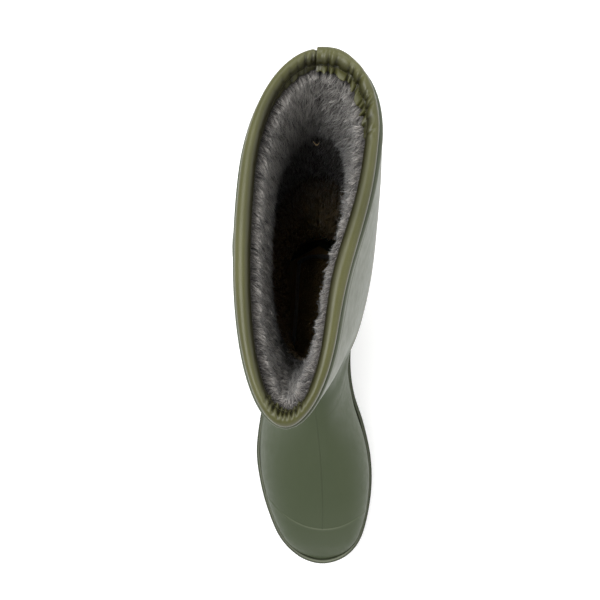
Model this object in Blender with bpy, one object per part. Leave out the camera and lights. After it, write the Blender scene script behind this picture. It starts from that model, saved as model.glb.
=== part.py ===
"""A right-foot insulated hunting boot: a tall rubber boot with a plush lining and a padded, bound collar.

Frame: metres, +Z up. The toe points to -Y and the inner (medial) side of the foot to +X. The origin is on
the ground, at the centre of the heel's tread.

The boot is a sock-shaped loft. Each station of the loft is a ring in its own plane: it runs from a point on
the front profile (shin, instep, toe) to a point on the back profile (calf, heel, sole). Every layer of the
wall, from the rubber shell to the plush, is the same loft shrunk in the planes of its rings, so they nest.

The real boot bends at the ball of the foot and at the ankle. Here the flexible layers are cut at both places
by cylinders round the axis of the bend, so that rigid pieces turn past each other.
"""

import math

import bmesh
import bpy
import numpy as np
from mathutils import Matrix, Vector

MM = 0.001

# Driving dimensions, in millimetres
HEIGHT = 344.0  # top edge of the rubber leg above the ground
HEEL_BACK = 40.0  # how far the sole reaches behind the origin
TOE_TIP = -255.0
SHELL = 2.2  # wall thicknesses, from the outside in
INSULATION = 2.5
PLUSH = 4.5
BOARD = 1.8
FOAM = 3.6
COVER = 2.4
GAP = 0.4  # clearance between neighbouring pieces
RUNNING_GAP = 0.6  # clearance across a bend
SOLE_MARGIN = 4.0  # how far the sole stands out past the upper
FOXING_WALL = 4.7  # how far in the foxing band reaches under the upper
STIFFENER = 1.2  # toe puff and heel counter
GUARD = 1.5  # extra rubber at the toe and the heel
SHANK = (7.0, 1.5)  # half width and thickness
SHANK_X, SHANK_ENDS = -6.0, (-36.0, -128.0)  # its middle, and where it starts and stops along the foot
HEEL_PAD = ((-1.0, -2.0), (17.0, 22.0), 24.0, 29.0)  # centre, radii, bottom and top of the heel cushion
CAP_EDGE = (1.0, -221.5, 0.010)  # x and y of the middle of the toe cap's back edge, and how it curves
TREAD_INSET = 6.0  # how far the forefoot's tread keeps from the sole's edge
TREAD_TOP = 6.0  # how high the forefoot's lugs reach into the sole
TREAD_ROWS = (-118.0, -131.5, -145.0, -158.5, -180.0, -193.5, -207.0)
CHEVRON_DEG = 14.0
HEEL_TREAD_TOP = 7.5
BADGE_AT, BADGE_RADII = (-34.0, 303.0), (16.0, 10.0)  # (y, z) of the blank boss, and its half sizes
ROLL_CENTRE = (5.0, 348.8)  # depth and height of the middle of the padded roll
ROLL_RADIUS = 3.8
BINDING = 1.0  # thickness of the binding strip
BINDING_LEVELS = (335.0, 338.0, 341.0, 344.0)  # heights along the outer tail of the binding, inside the shell
BINDING_HEM = 337.0  # lower edge of the binding's inner tail
SEWING_HEIGHT, THREAD_RADIUS = 339.5, 0.35

# Bends: axis (y, z) and the radius at which the pieces part
BALL_AXIS, BALL_RADIUS, BALL_TOP_DEG = (-146.0, 50.0), 50.5, 58.0
ANKLE_AXIS, ANKLE_RADIUS = (-35.0, 118.0), 88.0
FOOTBED_AXIS = (-190.0, 36.0)  # the line about which the loose footbed's heel end lifts
FAR = 400.0  # a reach past any face of the boot, for cutters

# Depth of each layer's outer face below the boot's surface
SHELL_IN = SHELL
INSULATION_OUT = SHELL_IN + GAP
INSULATION_IN = INSULATION_OUT + INSULATION
LINING_OUT = INSULATION_IN + GAP
LINING_IN = LINING_OUT + PLUSH

COLUMNS = 6  # quads in a quarter of a ring
SLAB_STEPS = 26  # quads along a sole layer
LEAST_RING = 1.2  # half the least size of the ring that ends a layer at the toe

# Stations: front (y, z), back (y, z), x at the front and at the back, half width lateral and medial (None
# follows the sole), where along the ring each side is widest, the ring's exponents at the front and the back,
# and how far the medial side is pressed in.
STATIONS = (
    ((-132.8, HEIGHT), (58.0, HEIGHT), -14.7, 3.3, 36.2, 34.5, 0.65, 0.74, 2.0, 2.15, 6.0),
    ((-122.0, 300.0), (50.5, 300.0), -11.0, 2.0, 39.5, 37.4, 0.64, 0.72, 2.1, 2.15, 2.5),
    ((-111.0, 250.0), (44.0, 250.0), -9.0, 0.5, 42.0, 39.8, 0.62, 0.70, 2.05, 2.2, 0.0),
    ((-104.0, 205.0), (37.5, 205.0), -7.0, 0.0, 42.0, 40.6, 0.60, 0.68, 2.05, 2.2, 0.0),
    ((-100.5, 170.0), (32.0, 168.0), -6.0, 0.0, 41.0, 40.2, 0.60, 0.66, 2.1, 2.2, 0.0),
    ((-101.0, 152.0), (29.5, 133.0), -5.5, 0.0, 39.8, 39.2, 0.63, 0.66, 2.2, 2.2, 0.0),
    ((-104.0, 142.0), (30.5, 102.0), -5.0, 0.0, 38.0, 37.0, 0.67, 0.67, 2.2, 2.1, 0.0),
    ((-108.0, 134.5), (34.0, 73.0), -5.0, 0.0, 36.0, 35.0, 0.71, 0.71, 2.2, 2.1, 0.0),
    ((-113.0, 128.5), (36.0, 50.0), -5.0, 0.0, 34.2, 32.8, 0.75, 0.75, 2.2, 2.15, 0.0),
    ((-118.0, 123.5), (32.0, 33.5), -4.5, 0.0, 33.2, 31.8, 0.78, 0.78, 2.2, 2.4, 0.0),
    ((-124.0, 118.5), (8.0, 30.3), -4.0, -1.0, None, None, 0.80, 0.80, 2.2, 3.4, 0.0),
    ((-131.0, 113.5), (-28.0, 29.0), -3.0, -3.0, None, None, 0.80, 0.80, 2.2, 4.4, 0.0),
    ((-140.0, 108.0), (-66.0, 25.5), -2.0, -6.0, None, None, 0.79, 0.79, 2.15, 5.0, 0.0),
    ((-151.0, 101.5), (-104.0, 20.5), -1.0, -9.0, None, None, 0.77, 0.77, 2.1, 5.0, 0.0),
    ((-165.0, 94.0), (-138.0, 17.5), 0.0, -8.0, None, None, 0.75, 0.75, 2.1, 5.0, 0.0),
    ((-184.0, 85.5), (-168.0, 16.5), 1.0, -5.0, None, None, 0.73, 0.73, 2.1, 5.0, 0.0),
    ((-204.0, 76.0), (-196.0, 17.5), 1.5, -3.0, None, None, 0.70, 0.70, 2.15, 4.5, 0.0),
    ((-222.0, 65.0), (-218.0, 20.0), 1.0, -1.0, None, None, 0.66, 0.66, 2.2, 4.0, 0.0),
    ((-236.0, 53.5), (-234.5, 23.0), 0.5, 0.0, None, None, 0.60, 0.60, 2.3, 3.0, 0.0),
    ((-246.0, 42.5), (-245.5, 27.0), 0.5, 0.5, None, None, 0.55, 0.55, 2.3, 2.4, 0.0),
    ((-250.5, 36.5), (-250.5, 31.5), 0.5, 0.5, None, None, 0.50, 0.50, 2.2, 2.2, 0.0),
)
LEG_RINGS = (0.0, 0.25, 0.6, 1.0, 2.0, 3.0, 4.0)
FOOT_RINGS = (2.8, 3.4, 4.0, 5.0, 6.0, 7.0, 8.0, 8.6, 9.2, 10.0, 11.0, 12.0, 13.0, 14.0, 15.0, 16.0, 17.0,
              18.0, 19.0, 20.0)
BOARD_RINGS = FOOT_RINGS[8:17]
PUFF_RINGS = FOOT_RINGS[-4:]

# Sole outline seen from above, (x, y), clockwise from the back of the heel round the lateral side
OUTLINE = (
    (0.0, HEEL_BACK), (-19.0, 35.5), (-33.0, 20.0), (-38.5, -5.0), (-41.0, -45.0), (-46.0, -90.0),
    (-54.0, -125.0), (-57.8, -158.0), (-54.5, -185.0), (-47.3, -210.0), (-36.0, -234.0), (-19.0, -249.5),
    (0.5, TOE_TIP), (19.5, -250.0), (33.0, -237.0), (40.5, -217.0), (45.0, -190.0), (44.5, -163.0),
    (38.8, -135.0), (30.5, -108.0), (27.6, -82.0), (29.5, -50.0), (34.0, -20.0), (35.0, 2.0),
    (31.0, 21.0), (18.0, 36.0),
)

# Heights along the foot, as (y, z) knots: the upper's seat, the top of the outsole, its underside and the
# top of the foxing band
SEAT = (
    (60, 30.0), (-30, 29.0), (-66, 25.5), (-104, 20.5), (-138, 17.5), (-168, 16.5), (-196, 17.5),
    (-255, 29.0),
)
SOLE_TOP = (
    (60, 20.0), (-30, 19.5), (-66, 17.0), (-104, 13.0), (-138, 10.5), (-168, 9.8), (-196, 10.8),
    (-255, 21.0),
)
SOLE_UNDER = (
    (60, 6.0), (-38, 6.0), (-44, 9.5), (-66, 9.5), (-104, 6.4), (-120, 4.6), (-168, 4.4), (-205, 4.6),
    (-255, 13.0),
)
FOXING_TOP = (
    (60, 44.0), (-30, 42.0), (-66, 38.0), (-104, 34.0), (-138, 32.5), (-168, 32.5), (-196, 33.5),
    (-255, 41.0),
)

# Colours of the materials
GREEN = (0.10, 0.13, 0.075)
GREY_GREEN = (0.15, 0.17, 0.12)
OLIVE = (0.16, 0.15, 0.06)
PLUSH_GREY = (0.12, 0.115, 0.12)
FELT = (0.30, 0.29, 0.27)
BLACK = (0.03, 0.032, 0.03)
TAN = (0.35, 0.26, 0.16)
STEEL = (0.5, 0.5, 0.5)


def knots(table, at):
    """Height at a place along the foot, by straight lines between knots."""
    ys = [y for y, _ in reversed(table)]
    zs = [z for _, z in reversed(table)]
    return float(np.interp(at, ys, zs))


def catmull(points, t):
    """The point at parameter t of a smooth curve through the rows of points."""
    i = min(int(t), len(points) - 2)
    u = t - i
    p0, p1 = points[max(i - 1, 0)], points[i]
    p2, p3 = points[i + 1], points[min(i + 2, len(points) - 1)]
    return 0.5 * (2 * p1 + (p2 - p0) * u + (2 * p0 - 5 * p1 + 4 * p2 - p3) * u**2
                  + (3 * p1 - p0 - 3 * p2 + p3) * u**3)


def outline(inset):
    """Functions giving the lateral and the medial x at y of the sole's outline, moved inwards by inset."""
    points = np.array(OUTLINE[-1:] + OUTLINE + OUTLINE[:2])
    ts = np.linspace(1, len(OUTLINE) + 1, 12 * len(OUTLINE) + 1)
    dense = np.array([catmull(points, t) for t in ts])
    ahead = np.array([catmull(points, t + 0.01) - catmull(points, t - 0.01) for t in ts])
    inward = np.stack([-ahead[:, 1], ahead[:, 0]], axis=1) / np.linalg.norm(ahead, axis=1)[:, None]
    moved = dense + inward * inset
    toe = 12 * OUTLINE.index((0.5, TOE_TIP))
    return side_edge(moved[toe::-1]), side_edge(moved[toe:])


def side_edge(points):
    """A function giving the x at y of one side of an outline, whose points run from the toe to the heel."""
    return lambda y: float(np.interp(y, points[:, 1], points[:, 0]))


UPPER_LATERAL, UPPER_MEDIAL = outline(SOLE_MARGIN)


def station_rows():
    """The stations as rows of numbers, with the widths of the foot taken from the sole's outline."""
    rows = []
    for front, back, x_front, x_back, lateral, medial, wide_l, wide_m, n_front, n_back, press in STATIONS:
        if lateral is None:
            y_l = front[0] + (back[0] - front[0]) * wide_l
            y_m = front[0] + (back[0] - front[0]) * wide_m
            lateral = x_front + (x_back - x_front) * wide_l - UPPER_LATERAL(y_l)
            medial = UPPER_MEDIAL(y_m) - x_front - (x_back - x_front) * wide_m
        rows.append((*front, *back, x_front, x_back, lateral, medial, wide_l, wide_m, n_front, n_back, press))
    return np.array(rows, float)


ROWS = station_rows()


def half_ring(row, depth, floor, medial):
    """Points of one side of a ring from front to back, shrunk by depth, and by floor more at the sole."""
    front, back = np.array([row[0], row[1]]), np.array([row[2], row[3]])
    wide = row[9] if medial else row[8]
    width = (row[7] if medial else row[6]) - depth
    length = np.linalg.norm(back - front)
    cut_front, cut_back = depth / length, (depth + floor) / length
    points = []
    for quarter, power in ((0, 2 / row[10]), (1, 2 / row[11])):
        for k in range(COLUMNS + 1 if quarter else COLUMNS):
            angle = math.pi / 2 * k / COLUMNS
            if quarter:
                share = wide + (1 - cut_back - wide) * max(math.sin(angle), 0.0) ** power
                out = max(math.cos(angle), 0.0) ** power
            else:
                share = wide - (wide - cut_front) * max(math.cos(angle), 0.0) ** power
                out = max(math.sin(angle), 0.0) ** power
            y, z = front + (back - front) * share
            middle = row[4] + (row[5] - row[4]) * share
            press = row[12] * math.exp(-(((share - 0.37) / 0.19) ** 2)) if medial else 0.0
            across = width * (0.0 if out < 1e-6 else out) - press * min(out * 2, 1)
            points.append((middle + across if medial else middle - across, y, z))
    return points


def ring(t, depth, floor=0.0):
    """A closed ring of 4 * COLUMNS points in metres, from the front round by the medial side."""
    row = catmull(ROWS, t)
    near, far = half_ring(row, depth, floor, True), half_ring(row, depth, floor, False)
    return [Vector(p) * MM for p in near + far[-2:0:-1]]


def smallest(t, depth, floor=0.0):
    """Half the least size of a ring, in millimetres, which says whether a layer still fits."""
    row = catmull(ROWS, t)
    length = math.hypot(row[2] - row[0], row[3] - row[1])
    return min(length - 2 * depth - floor, 2 * (row[6] - depth), 2 * (row[7] - depth)) / 2


def new_object(name, mesh, colour, roughness, metallic=0.0):
    """A named object holding the mesh, with its own material."""
    obj = bpy.data.objects.new(name, mesh)
    bpy.context.scene.collection.objects.link(obj)
    material = bpy.data.materials.new(name)
    material.use_nodes = True
    shader = material.node_tree.nodes["Principled BSDF"]
    shader.inputs["Base Color"].default_value = (*colour, 1.0)
    shader.inputs["Roughness"].default_value = roughness
    shader.inputs["Metallic"].default_value = metallic
    mesh.materials.append(material)
    mesh.shade_smooth()
    mesh.set_sharp_from_angle(angle=math.radians(35))
    return obj


def mesh_from(bm, name):
    """A mesh with outward normals from a bmesh."""
    bmesh.ops.recalc_face_normals(bm, faces=bm.faces)
    mesh = bpy.data.meshes.new(name)
    bm.to_mesh(mesh)
    bm.free()
    return mesh


def add_ring(bm, points):
    return [bm.verts.new(p) for p in points]


def bridge(bm, a, b, closed=True):
    """Quads between two rows of vertices of the same length."""
    count = len(a) if closed else len(a) - 1
    for i in range(count):
        j = (i + 1) % len(a)
        bm.faces.new((a[i], a[j], b[j], b[i]))


def cap(bm, row):
    """A fan that closes a ring."""
    centre = sum((v.co for v in row), Vector()) / len(row)
    tip = bm.verts.new(centre)
    for i, v in enumerate(row):
        bm.faces.new((v, row[(i + 1) % len(row)], tip))


def toe_end(depth, floor):
    """The last station place where a face at this depth has room, its depth back from the toe's tip."""
    low, high = BOARD_RINGS[-1], FOOT_RINGS[-1]
    for _ in range(30):
        t = (low + high) / 2
        behind_tip = catmull(ROWS, t)[0] > ROWS[-1][0] + depth
        if behind_tip and smallest(t, depth, floor) > LEAST_RING:
            low = t
        else:
            high = t
    return low


def tube_layer(ts, outer, inner, floor=0.0, closed_end=True, sunk=0.0):
    """A wall between two depths of the loft, as a mesh: open at its first ring, closed at the toe if asked.

    At the toe the outer face can be sunk further, to make room for the toe puff.
    """
    bm = bmesh.new()
    ends = []
    for depth, extra in ((outer, sunk), (inner, 0.0)):
        places = ts
        if closed_end:
            end = toe_end(depth + extra, floor)
            places = [t for t in ts if t < end - 0.3] + [end]
        rings = [add_ring(bm, ring(t, depth + (extra if t >= PUFF_RINGS[0] else 0.0), floor)) for t in places]
        for a, b in zip(rings, rings[1:]):
            bridge(bm, a, b)
        ends.append((rings[0], rings[-1]))
    bridge(bm, ends[0][0], ends[1][0])
    if closed_end:
        cap(bm, ends[0][1])
        cap(bm, ends[1][1])
    else:
        bridge(bm, ends[0][1], ends[1][1])
    return mesh_from(bm, "layer")


def patch(ts, reach, outer, inner):
    """The part of a layer that lies under or behind the foot: the columns within reach of its middle.

    Its two faces are each given as a depth and a further depth at the sole.
    """
    bm = bmesh.new()
    middle = 2 * COLUMNS
    sheets = []
    for depth, floor in (outer, inner):
        rows = [add_ring(bm, ring(t, depth, floor)[middle - reach: middle + reach + 1]) for t in ts]
        for a, b in zip(rows, rows[1:]):
            bridge(bm, a, b, closed=False)
        sheets.append(rows)
    low, high = sheets
    bridge(bm, low[0], high[0], closed=False)
    bridge(bm, low[-1], high[-1], closed=False)
    for end in (0, -1):
        bridge(bm, [r[end] for r in low], [r[end] for r in high], closed=False)
    return mesh_from(bm, "patch")


def prism(points):
    """A straight bar across the boot with the (y, z) outline given, as a hidden cutter."""
    bm = bmesh.new()
    near = add_ring(bm, [Vector((-FAR / 2, y, z)) * MM for y, z in points])
    far = add_ring(bm, [Vector((FAR / 2, y, z)) * MM for y, z in points])
    bridge(bm, near, far)
    bm.faces.new(near)
    bm.faces.new(reversed(far))
    return helper(mesh_from(bm, "prism"))


def helper(mesh):
    """A cutter object, which isn't part of the boot."""
    obj = bpy.data.objects.new("helper", mesh)
    bpy.context.scene.collection.objects.link(obj)
    obj.hide_render = True
    obj.display_type = "WIRE"
    return obj


def boolean(obj, other, operation="DIFFERENCE"):
    modifier = obj.modifiers.new(operation.lower(), "BOOLEAN")
    modifier.operation = operation
    modifier.object = other
    modifier.solver = "EXACT"


def arc(axis, radius, start_deg, end_deg, steps):
    """Points (y, z) of an arc; angles are measured from -Y, upwards."""
    angles = np.radians(np.linspace(start_deg, end_deg, steps + 1))
    return [(axis[0] - radius * math.cos(a), axis[1] + radius * math.sin(a)) for a in angles]


def outwards(axis, deg):
    """A far point (y, z) in the direction deg from an axis."""
    return axis[0] - FAR * math.cos(math.radians(deg)), axis[1] + FAR * math.sin(math.radians(deg))


def cutters():
    """The four bars that part the layers at the bends, each named for what it leaves."""
    low_deg = -65.0
    front_arc = arc(BALL_AXIS, BALL_RADIUS, low_deg, BALL_TOP_DEG, 24)
    back_arc = arc(BALL_AXIS, BALL_RADIUS + RUNNING_GAP, low_deg, BALL_TOP_DEG, 24)
    before = [*front_arc, outwards(BALL_AXIS, BALL_TOP_DEG), outwards(BALL_AXIS, 0.0),
              outwards(BALL_AXIS, low_deg)]
    behind = [*back_arc, outwards(BALL_AXIS, BALL_TOP_DEG + 0.6), outwards(BALL_AXIS, 120.0),
              outwards(BALL_AXIS, 180.0), outwards(BALL_AXIS, 235.0), outwards(BALL_AXIS, low_deg - 1.0)]
    dome = arc(ANKLE_AXIS, ANKLE_RADIUS, 12.0, 168.0, 28)
    above = [*dome, outwards(ANKLE_AXIS, 150.0), outwards(ANKLE_AXIS, 30.0)]
    under = arc(ANKLE_AXIS, ANKLE_RADIUS + RUNNING_GAP, 12.0, 168.0, 28)
    return {
        "leaves_rear": prism(before),
        "leaves_front": prism(behind),
        "leaves_foot": prism(above),
        "leaves_leg": prism(under),
    }


def slab(inset, bottom, top, rise=0.0, drop=0.0):
    """A sole layer: the outline moved in by inset, between two tables of heights."""
    lateral, medial = outline(inset)
    start, stop = HEEL_BACK - inset, TOE_TIP + inset
    bm = bmesh.new()
    rows = []
    for k in range(SLAB_STEPS + 1):
        share = (1 - math.cos(math.pi * (k + 0.35) / (SLAB_STEPS + 0.7))) / 2
        y = start + (stop - start) * share
        low, high = knots(bottom, y) + rise, knots(top, y) - drop
        corners = ((lateral(y), low), (medial(y), low), (medial(y), high), (lateral(y), high))
        rows.append(add_ring(bm, [Vector((x, y, z)) * MM for x, z in corners]))
    for a, b in zip(rows, rows[1:]):
        bridge(bm, a, b)
    bm.faces.new(rows[0])
    bm.faces.new(rows[-1])
    return mesh_from(bm, "slab")


def lug_mesh(lugs):
    """Tread lugs as separate tapered blocks: (x, y, half width, half length, turn in degrees, top)."""
    bm = bmesh.new()
    for x, y, half_w, half_l, turn, top in lugs:
        place = Matrix.Translation(Vector((x, y, 0.0)) * MM) @ Matrix.Rotation(math.radians(turn), 4, "Z")
        feet = []
        for z, grow in ((0.0, 0.0), (top, 1.0)):
            w, length = (half_w + grow) * MM, (half_l + grow) * MM
            corners = ((-w, -length), (w, -length), (w, length), (-w, length))
            feet.append([bm.verts.new(place @ Vector((cx, cy, z * MM))) for cx, cy in corners])
        bridge(bm, feet[0], feet[1])
        bm.faces.new(feet[0])
        bm.faces.new(reversed(feet[1]))
    return mesh_from(bm, "lugs")


def forefoot_lugs():
    """Chevron rows across the ball and toe, in pairs about the middle of the sole."""
    lateral, medial = outline(TREAD_INSET)
    lugs = []
    for y in TREAD_ROWS:
        middle = (lateral(y) + medial(y)) / 2
        half = (medial(y) - lateral(y)) / 4 - 3.0
        for side in (-1, 1):
            lugs.append((middle + side * (half + 3.2), y, half - 1.5, 3.6, side * CHEVRON_DEG, TREAD_TOP))
    return lugs


def heel_lugs():
    """A ring of blocks round the heel and a square pad in its middle."""
    lugs = [(0.0, 0.0, 9.0, 9.0, 0.0, HEEL_TREAD_TOP)]
    for k in range(7):
        angle = math.radians(-30.0 + 40.0 * k)
        x, y = 24.5 * math.cos(angle) - 1.0, 1.0 + 26.0 * math.sin(angle)
        lugs.append((x, y, 4.2, 5.2, math.degrees(angle), HEEL_TREAD_TOP))
    lugs.append((-2.0, -33.0, 27.0, 3.2, 0.0, HEEL_TREAD_TOP))
    return lugs


def split_at_ball(name_front, name_rear, make_mesh, colour, roughness, tools):
    """The front and the rear piece of a layer that bends at the ball of the foot."""
    front = new_object(name_front, make_mesh(), colour, roughness)
    boolean(front, tools["leaves_front"])
    rear = new_object(name_rear, make_mesh(), colour, roughness)
    boolean(rear, tools["leaves_rear"])
    return front, rear


def build_leg(tools):
    """The leg's three layers, parted from the foot by the ankle's cylinder."""
    layers = (
        ("leg_shell", LEG_RINGS, 0.0, SHELL_IN, GREY_GREEN, 0.6),
        ("leg_insulation", LEG_RINGS[2:], INSULATION_OUT, INSULATION_IN, FELT, 0.95),
        ("leg_lining", (0.2, *LEG_RINGS[2:]), LINING_OUT, LINING_IN, PLUSH_GREY, 1.0),
    )
    for name, ts, outer, inner, colour, roughness in layers:
        obj = new_object(name, tube_layer(ts, outer, inner, closed_end=False), colour, roughness)
        boolean(obj, tools["leaves_leg"])


def leg_place(z):
    """The place along the stations at which the leg's ring lies at height z; the top ring above the leg."""
    low, high = 0.0, 3.0
    for _ in range(30):
        t = (low + high) / 2
        if catmull(ROWS, t)[1] > z:
            low = t
        else:
            high = t
    return low


def collar_point(column, depth, z):
    """A point at the collar: a column of the leg's ring at a height, at a depth below the surface."""
    point = ring(leg_place(min(z, HEIGHT - 0.01)), depth)[column]
    return Vector((point.x, point.y, z * MM))


def sweep_collar(name, section, colour, roughness):
    """A closed (depth, z) section carried round the collar."""
    bm = bmesh.new()
    count = 4 * COLUMNS
    rows = [add_ring(bm, [collar_point(i, depth, z) for depth, z in section]) for i in range(count)]
    for i, row in enumerate(rows):
        bridge(bm, row, rows[(i + 1) % count])
    return new_object(name, mesh_from(bm, name), colour, roughness)



def build_collar():
    """The padded roll: a strip folded over a soft cord, with both edges tucked down and sewn."""
    depth, height = ROLL_CENTRE
    folds = {}
    for side, radius in (("out", ROLL_RADIUS), ("in", ROLL_RADIUS - BINDING)):
        angles = np.radians(np.linspace(218, -42, 9))
        folds[side] = [(depth + radius * math.cos(a), height + radius * math.sin(a)) for a in angles]
    lap_out, lap_in = SHELL_IN + 2 * GAP, LINING_IN + 2 * GAP
    section = [(lap_out, z) for z in BINDING_LEVELS]
    section += folds["out"]
    section += [(lap_in + BINDING, BINDING_HEM), (lap_in, BINDING_HEM)]
    section += folds["in"][::-1]
    section += [(lap_out + BINDING, z) for z in reversed(BINDING_LEVELS)]
    sweep_collar("collar_binding", section, OLIVE, 0.35)
    cord_radius = ROLL_RADIUS - BINDING - GAP
    cord = [(depth + cord_radius * math.cos(a), height + cord_radius * math.sin(a))
            for a in np.linspace(0, 2 * math.pi, 9)[:-1]]
    sweep_collar("collar_cord", cord, FELT, 0.9)
    thread_depth = lap_in + BINDING + THREAD_RADIUS + GAP / 2
    thread = [(thread_depth + THREAD_RADIUS * math.cos(a), SEWING_HEIGHT + THREAD_RADIUS * math.sin(a))
              for a in np.linspace(0, 2 * math.pi, 5)[:-1]]
    sweep_collar("collar_stitching", thread, OLIVE, 0.7)


def build_badge():
    """A blank oval boss on the lateral side, just below the collar."""
    bm = bmesh.new()
    rims = []
    for lift, shrink in ((0.3, 1.0), (1.9, 1.0), (2.6, 0.86)):
        points = []
        for k in range(20):
            angle = 2 * math.pi * k / 20
            y = BADGE_AT[0] + BADGE_RADII[0] * shrink * math.cos(angle)
            z = BADGE_AT[1] + BADGE_RADII[1] * shrink * math.sin(angle)
            points.append(side_point(y, z, lift))
        rims.append(add_ring(bm, points))
    for a, b in zip(rims, rims[1:]):
        bridge(bm, a, b)
    cap(bm, rims[0])
    cap(bm, rims[-1])
    new_object("side_badge", mesh_from(bm, "side_badge"), GREEN, 0.5)


def side_point(y, z, lift):
    """The point at (y, z) on the lateral face of the leg, stood off by lift."""
    row = catmull(ROWS, leg_place(z))
    share = (y - row[0]) / (row[2] - row[0])
    wide = row[8]
    reach = (wide - share) / wide if share < wide else (share - wide) / (1 - wide)
    power = row[10] if share < wide else row[11]
    across = row[6] * (1 - min(abs(reach), 1.0) ** power) ** (1 / power)
    middle = row[4] + (row[5] - row[4]) * share
    return Vector((middle - across - lift, y, z)) * MM


def build_upper(tools):
    """The foot's rubber shell and its two soft layers, each in a front and a rear piece."""
    floor = BOARD + GAP
    sunk = STIFFENER + GAP
    layers = (
        ("vamp_shell", "quarter_shell", 0.0, SHELL_IN, 0.0, 0.0, GREEN, 0.55),
        ("forefoot_lining", "heel_lining", LINING_OUT, LINING_IN, floor, 0.0, PLUSH_GREY, 1.0),
        ("forefoot_insulation", "heel_insulation", INSULATION_OUT, INSULATION_IN, floor, sunk, FELT, 0.95),
    )
    for front_name, rear_name, outer, inner, floor_at, toe_room, colour, roughness in layers:
        _, rear = split_at_ball(
            front_name, rear_name,
            lambda: tube_layer(FOOT_RINGS, outer, inner, floor_at, sunk=toe_room), colour, roughness, tools)
        boolean(rear, tools["leaves_foot"])
    return rear


def build_insoles(tools):
    """The fibre board under the lining, and the loose footbed with its plush cover on top of it."""
    split_at_ball(
        "insole_board_forepart", "insole_board_heelpart",
        lambda: patch(BOARD_RINGS, 3, (INSULATION_OUT, 0.0), (INSULATION_OUT, BOARD)), TAN, 0.9, tools)
    floor = BOARD + GAP
    bed = LINING_IN + GAP
    foam_top = bed + FOAM
    cover = foam_top + GAP
    split_at_ball(
        "footbed_foam_forepart", "footbed_foam_heelpart",
        lambda: patch(BOARD_RINGS, 3, (bed, floor), (foam_top, floor)), FELT, 0.9, tools)
    split_at_ball(
        "footbed_cover_forepart", "footbed_cover_heelpart",
        lambda: patch(BOARD_RINGS, 3, (cover, floor), (cover + COVER, floor)), PLUSH_GREY, 1.0, tools)


def plug():
    """The upper as a solid, a gap larger than it is, to hollow the pieces that wrap it."""
    bm = bmesh.new()
    rings = [add_ring(bm, ring(t, -GAP)) for t in FOOT_RINGS[6:]]
    for a, b in zip(rings, rings[1:]):
        bridge(bm, a, b)
    cap(bm, rings[0])
    cap(bm, rings[-1])
    return helper(mesh_from(bm, "plug"))


def build_stiffeners(heel_insulation):
    """The toe puff and the heel counter, let into the outer face of the insulation."""
    top, bottom = SHELL_IN + GAP, SHELL_IN + GAP + STIFFENER
    new_object("toe_puff", tube_layer(PUFF_RINGS, top, bottom), TAN, 0.8)
    new_object("heel_counter", patch((6.0, 7.0, 8.0), 3, (top, 0.0), (bottom, 0.0)), TAN, 0.8)
    room = helper(patch((5.85, 7.0, 8.15), 4, (SHELL_IN, 0.0), (bottom + GAP, 0.0)))
    boolean(heel_insulation, room)


def build_guards():
    """The extra rubber over the heel, and the toe cap with its curved back edge."""
    floor_line = prism([(y, z + GAP) for y, z in FOXING_TOP] + [(-400.0, -50.0), (200.0, -50.0)])
    guard = new_object("heel_guard", patch(FOOT_RINGS[4:8], 2, (-GUARD - GAP, 0.0), (-GAP, 0.0)), GREEN, 0.5)
    boolean(guard, floor_line)
    cap_rings = FOOT_RINGS[14:-1]
    toe_cap = new_object(
        "toe_cap", tube_layer(cap_rings, -GUARD - GAP, -GAP, closed_end=False), GREEN, 0.5)
    boolean(toe_cap, floor_line)
    bm = bmesh.new()
    xs = np.linspace(-70.0, 70.0, 15)
    edge = [(x, CAP_EDGE[1] + CAP_EDGE[2] * (x - CAP_EDGE[0]) ** 2) for x in xs]
    corners = [(120.0, 100.0), (-120.0, 100.0)]
    rims = [add_ring(bm, [Vector((x, y, z)) * MM for x, y in edge + corners]) for z in (-20.0, 160.0)]
    bridge(bm, *rims)
    bm.faces.new(rims[0])
    bm.faces.new(reversed(rims[1]))
    boolean(toe_cap, helper(mesh_from(bm, "behind_cap")))


def strip(half_width, ends, bottom, top):
    """A straight flat strip along the foot under the seat; bottom and top are heights from the seat."""
    bm = bmesh.new()
    rows = []
    for y in np.linspace(*ends, 9):
        z = knots(SEAT, y)
        corners = ((-half_width, bottom), (half_width, bottom), (half_width, top), (-half_width, top))
        rows.append(add_ring(bm, [Vector((SHANK_X + x, y, z + dz)) * MM for x, dz in corners]))
    for a, b in zip(rows, rows[1:]):
        bridge(bm, a, b)
    bm.faces.new(rows[0])
    bm.faces.new(rows[-1])
    return mesh_from(bm, "strip")


def disc(centre, radii, low, high):
    """An upright oval disc."""
    bm = bmesh.new()
    angles = np.linspace(0, 2 * math.pi, 32, endpoint=False)
    plan = [(centre[0] + radii[0] * math.cos(a), centre[1] + radii[1] * math.sin(a)) for a in angles]
    rims = [add_ring(bm, [Vector((x, y, z)) * MM for x, y in plan]) for z in (low, high)]
    bridge(bm, *rims)
    bm.faces.new(rims[0])
    bm.faces.new(reversed(rims[1]))
    return mesh_from(bm, "disc")


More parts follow.
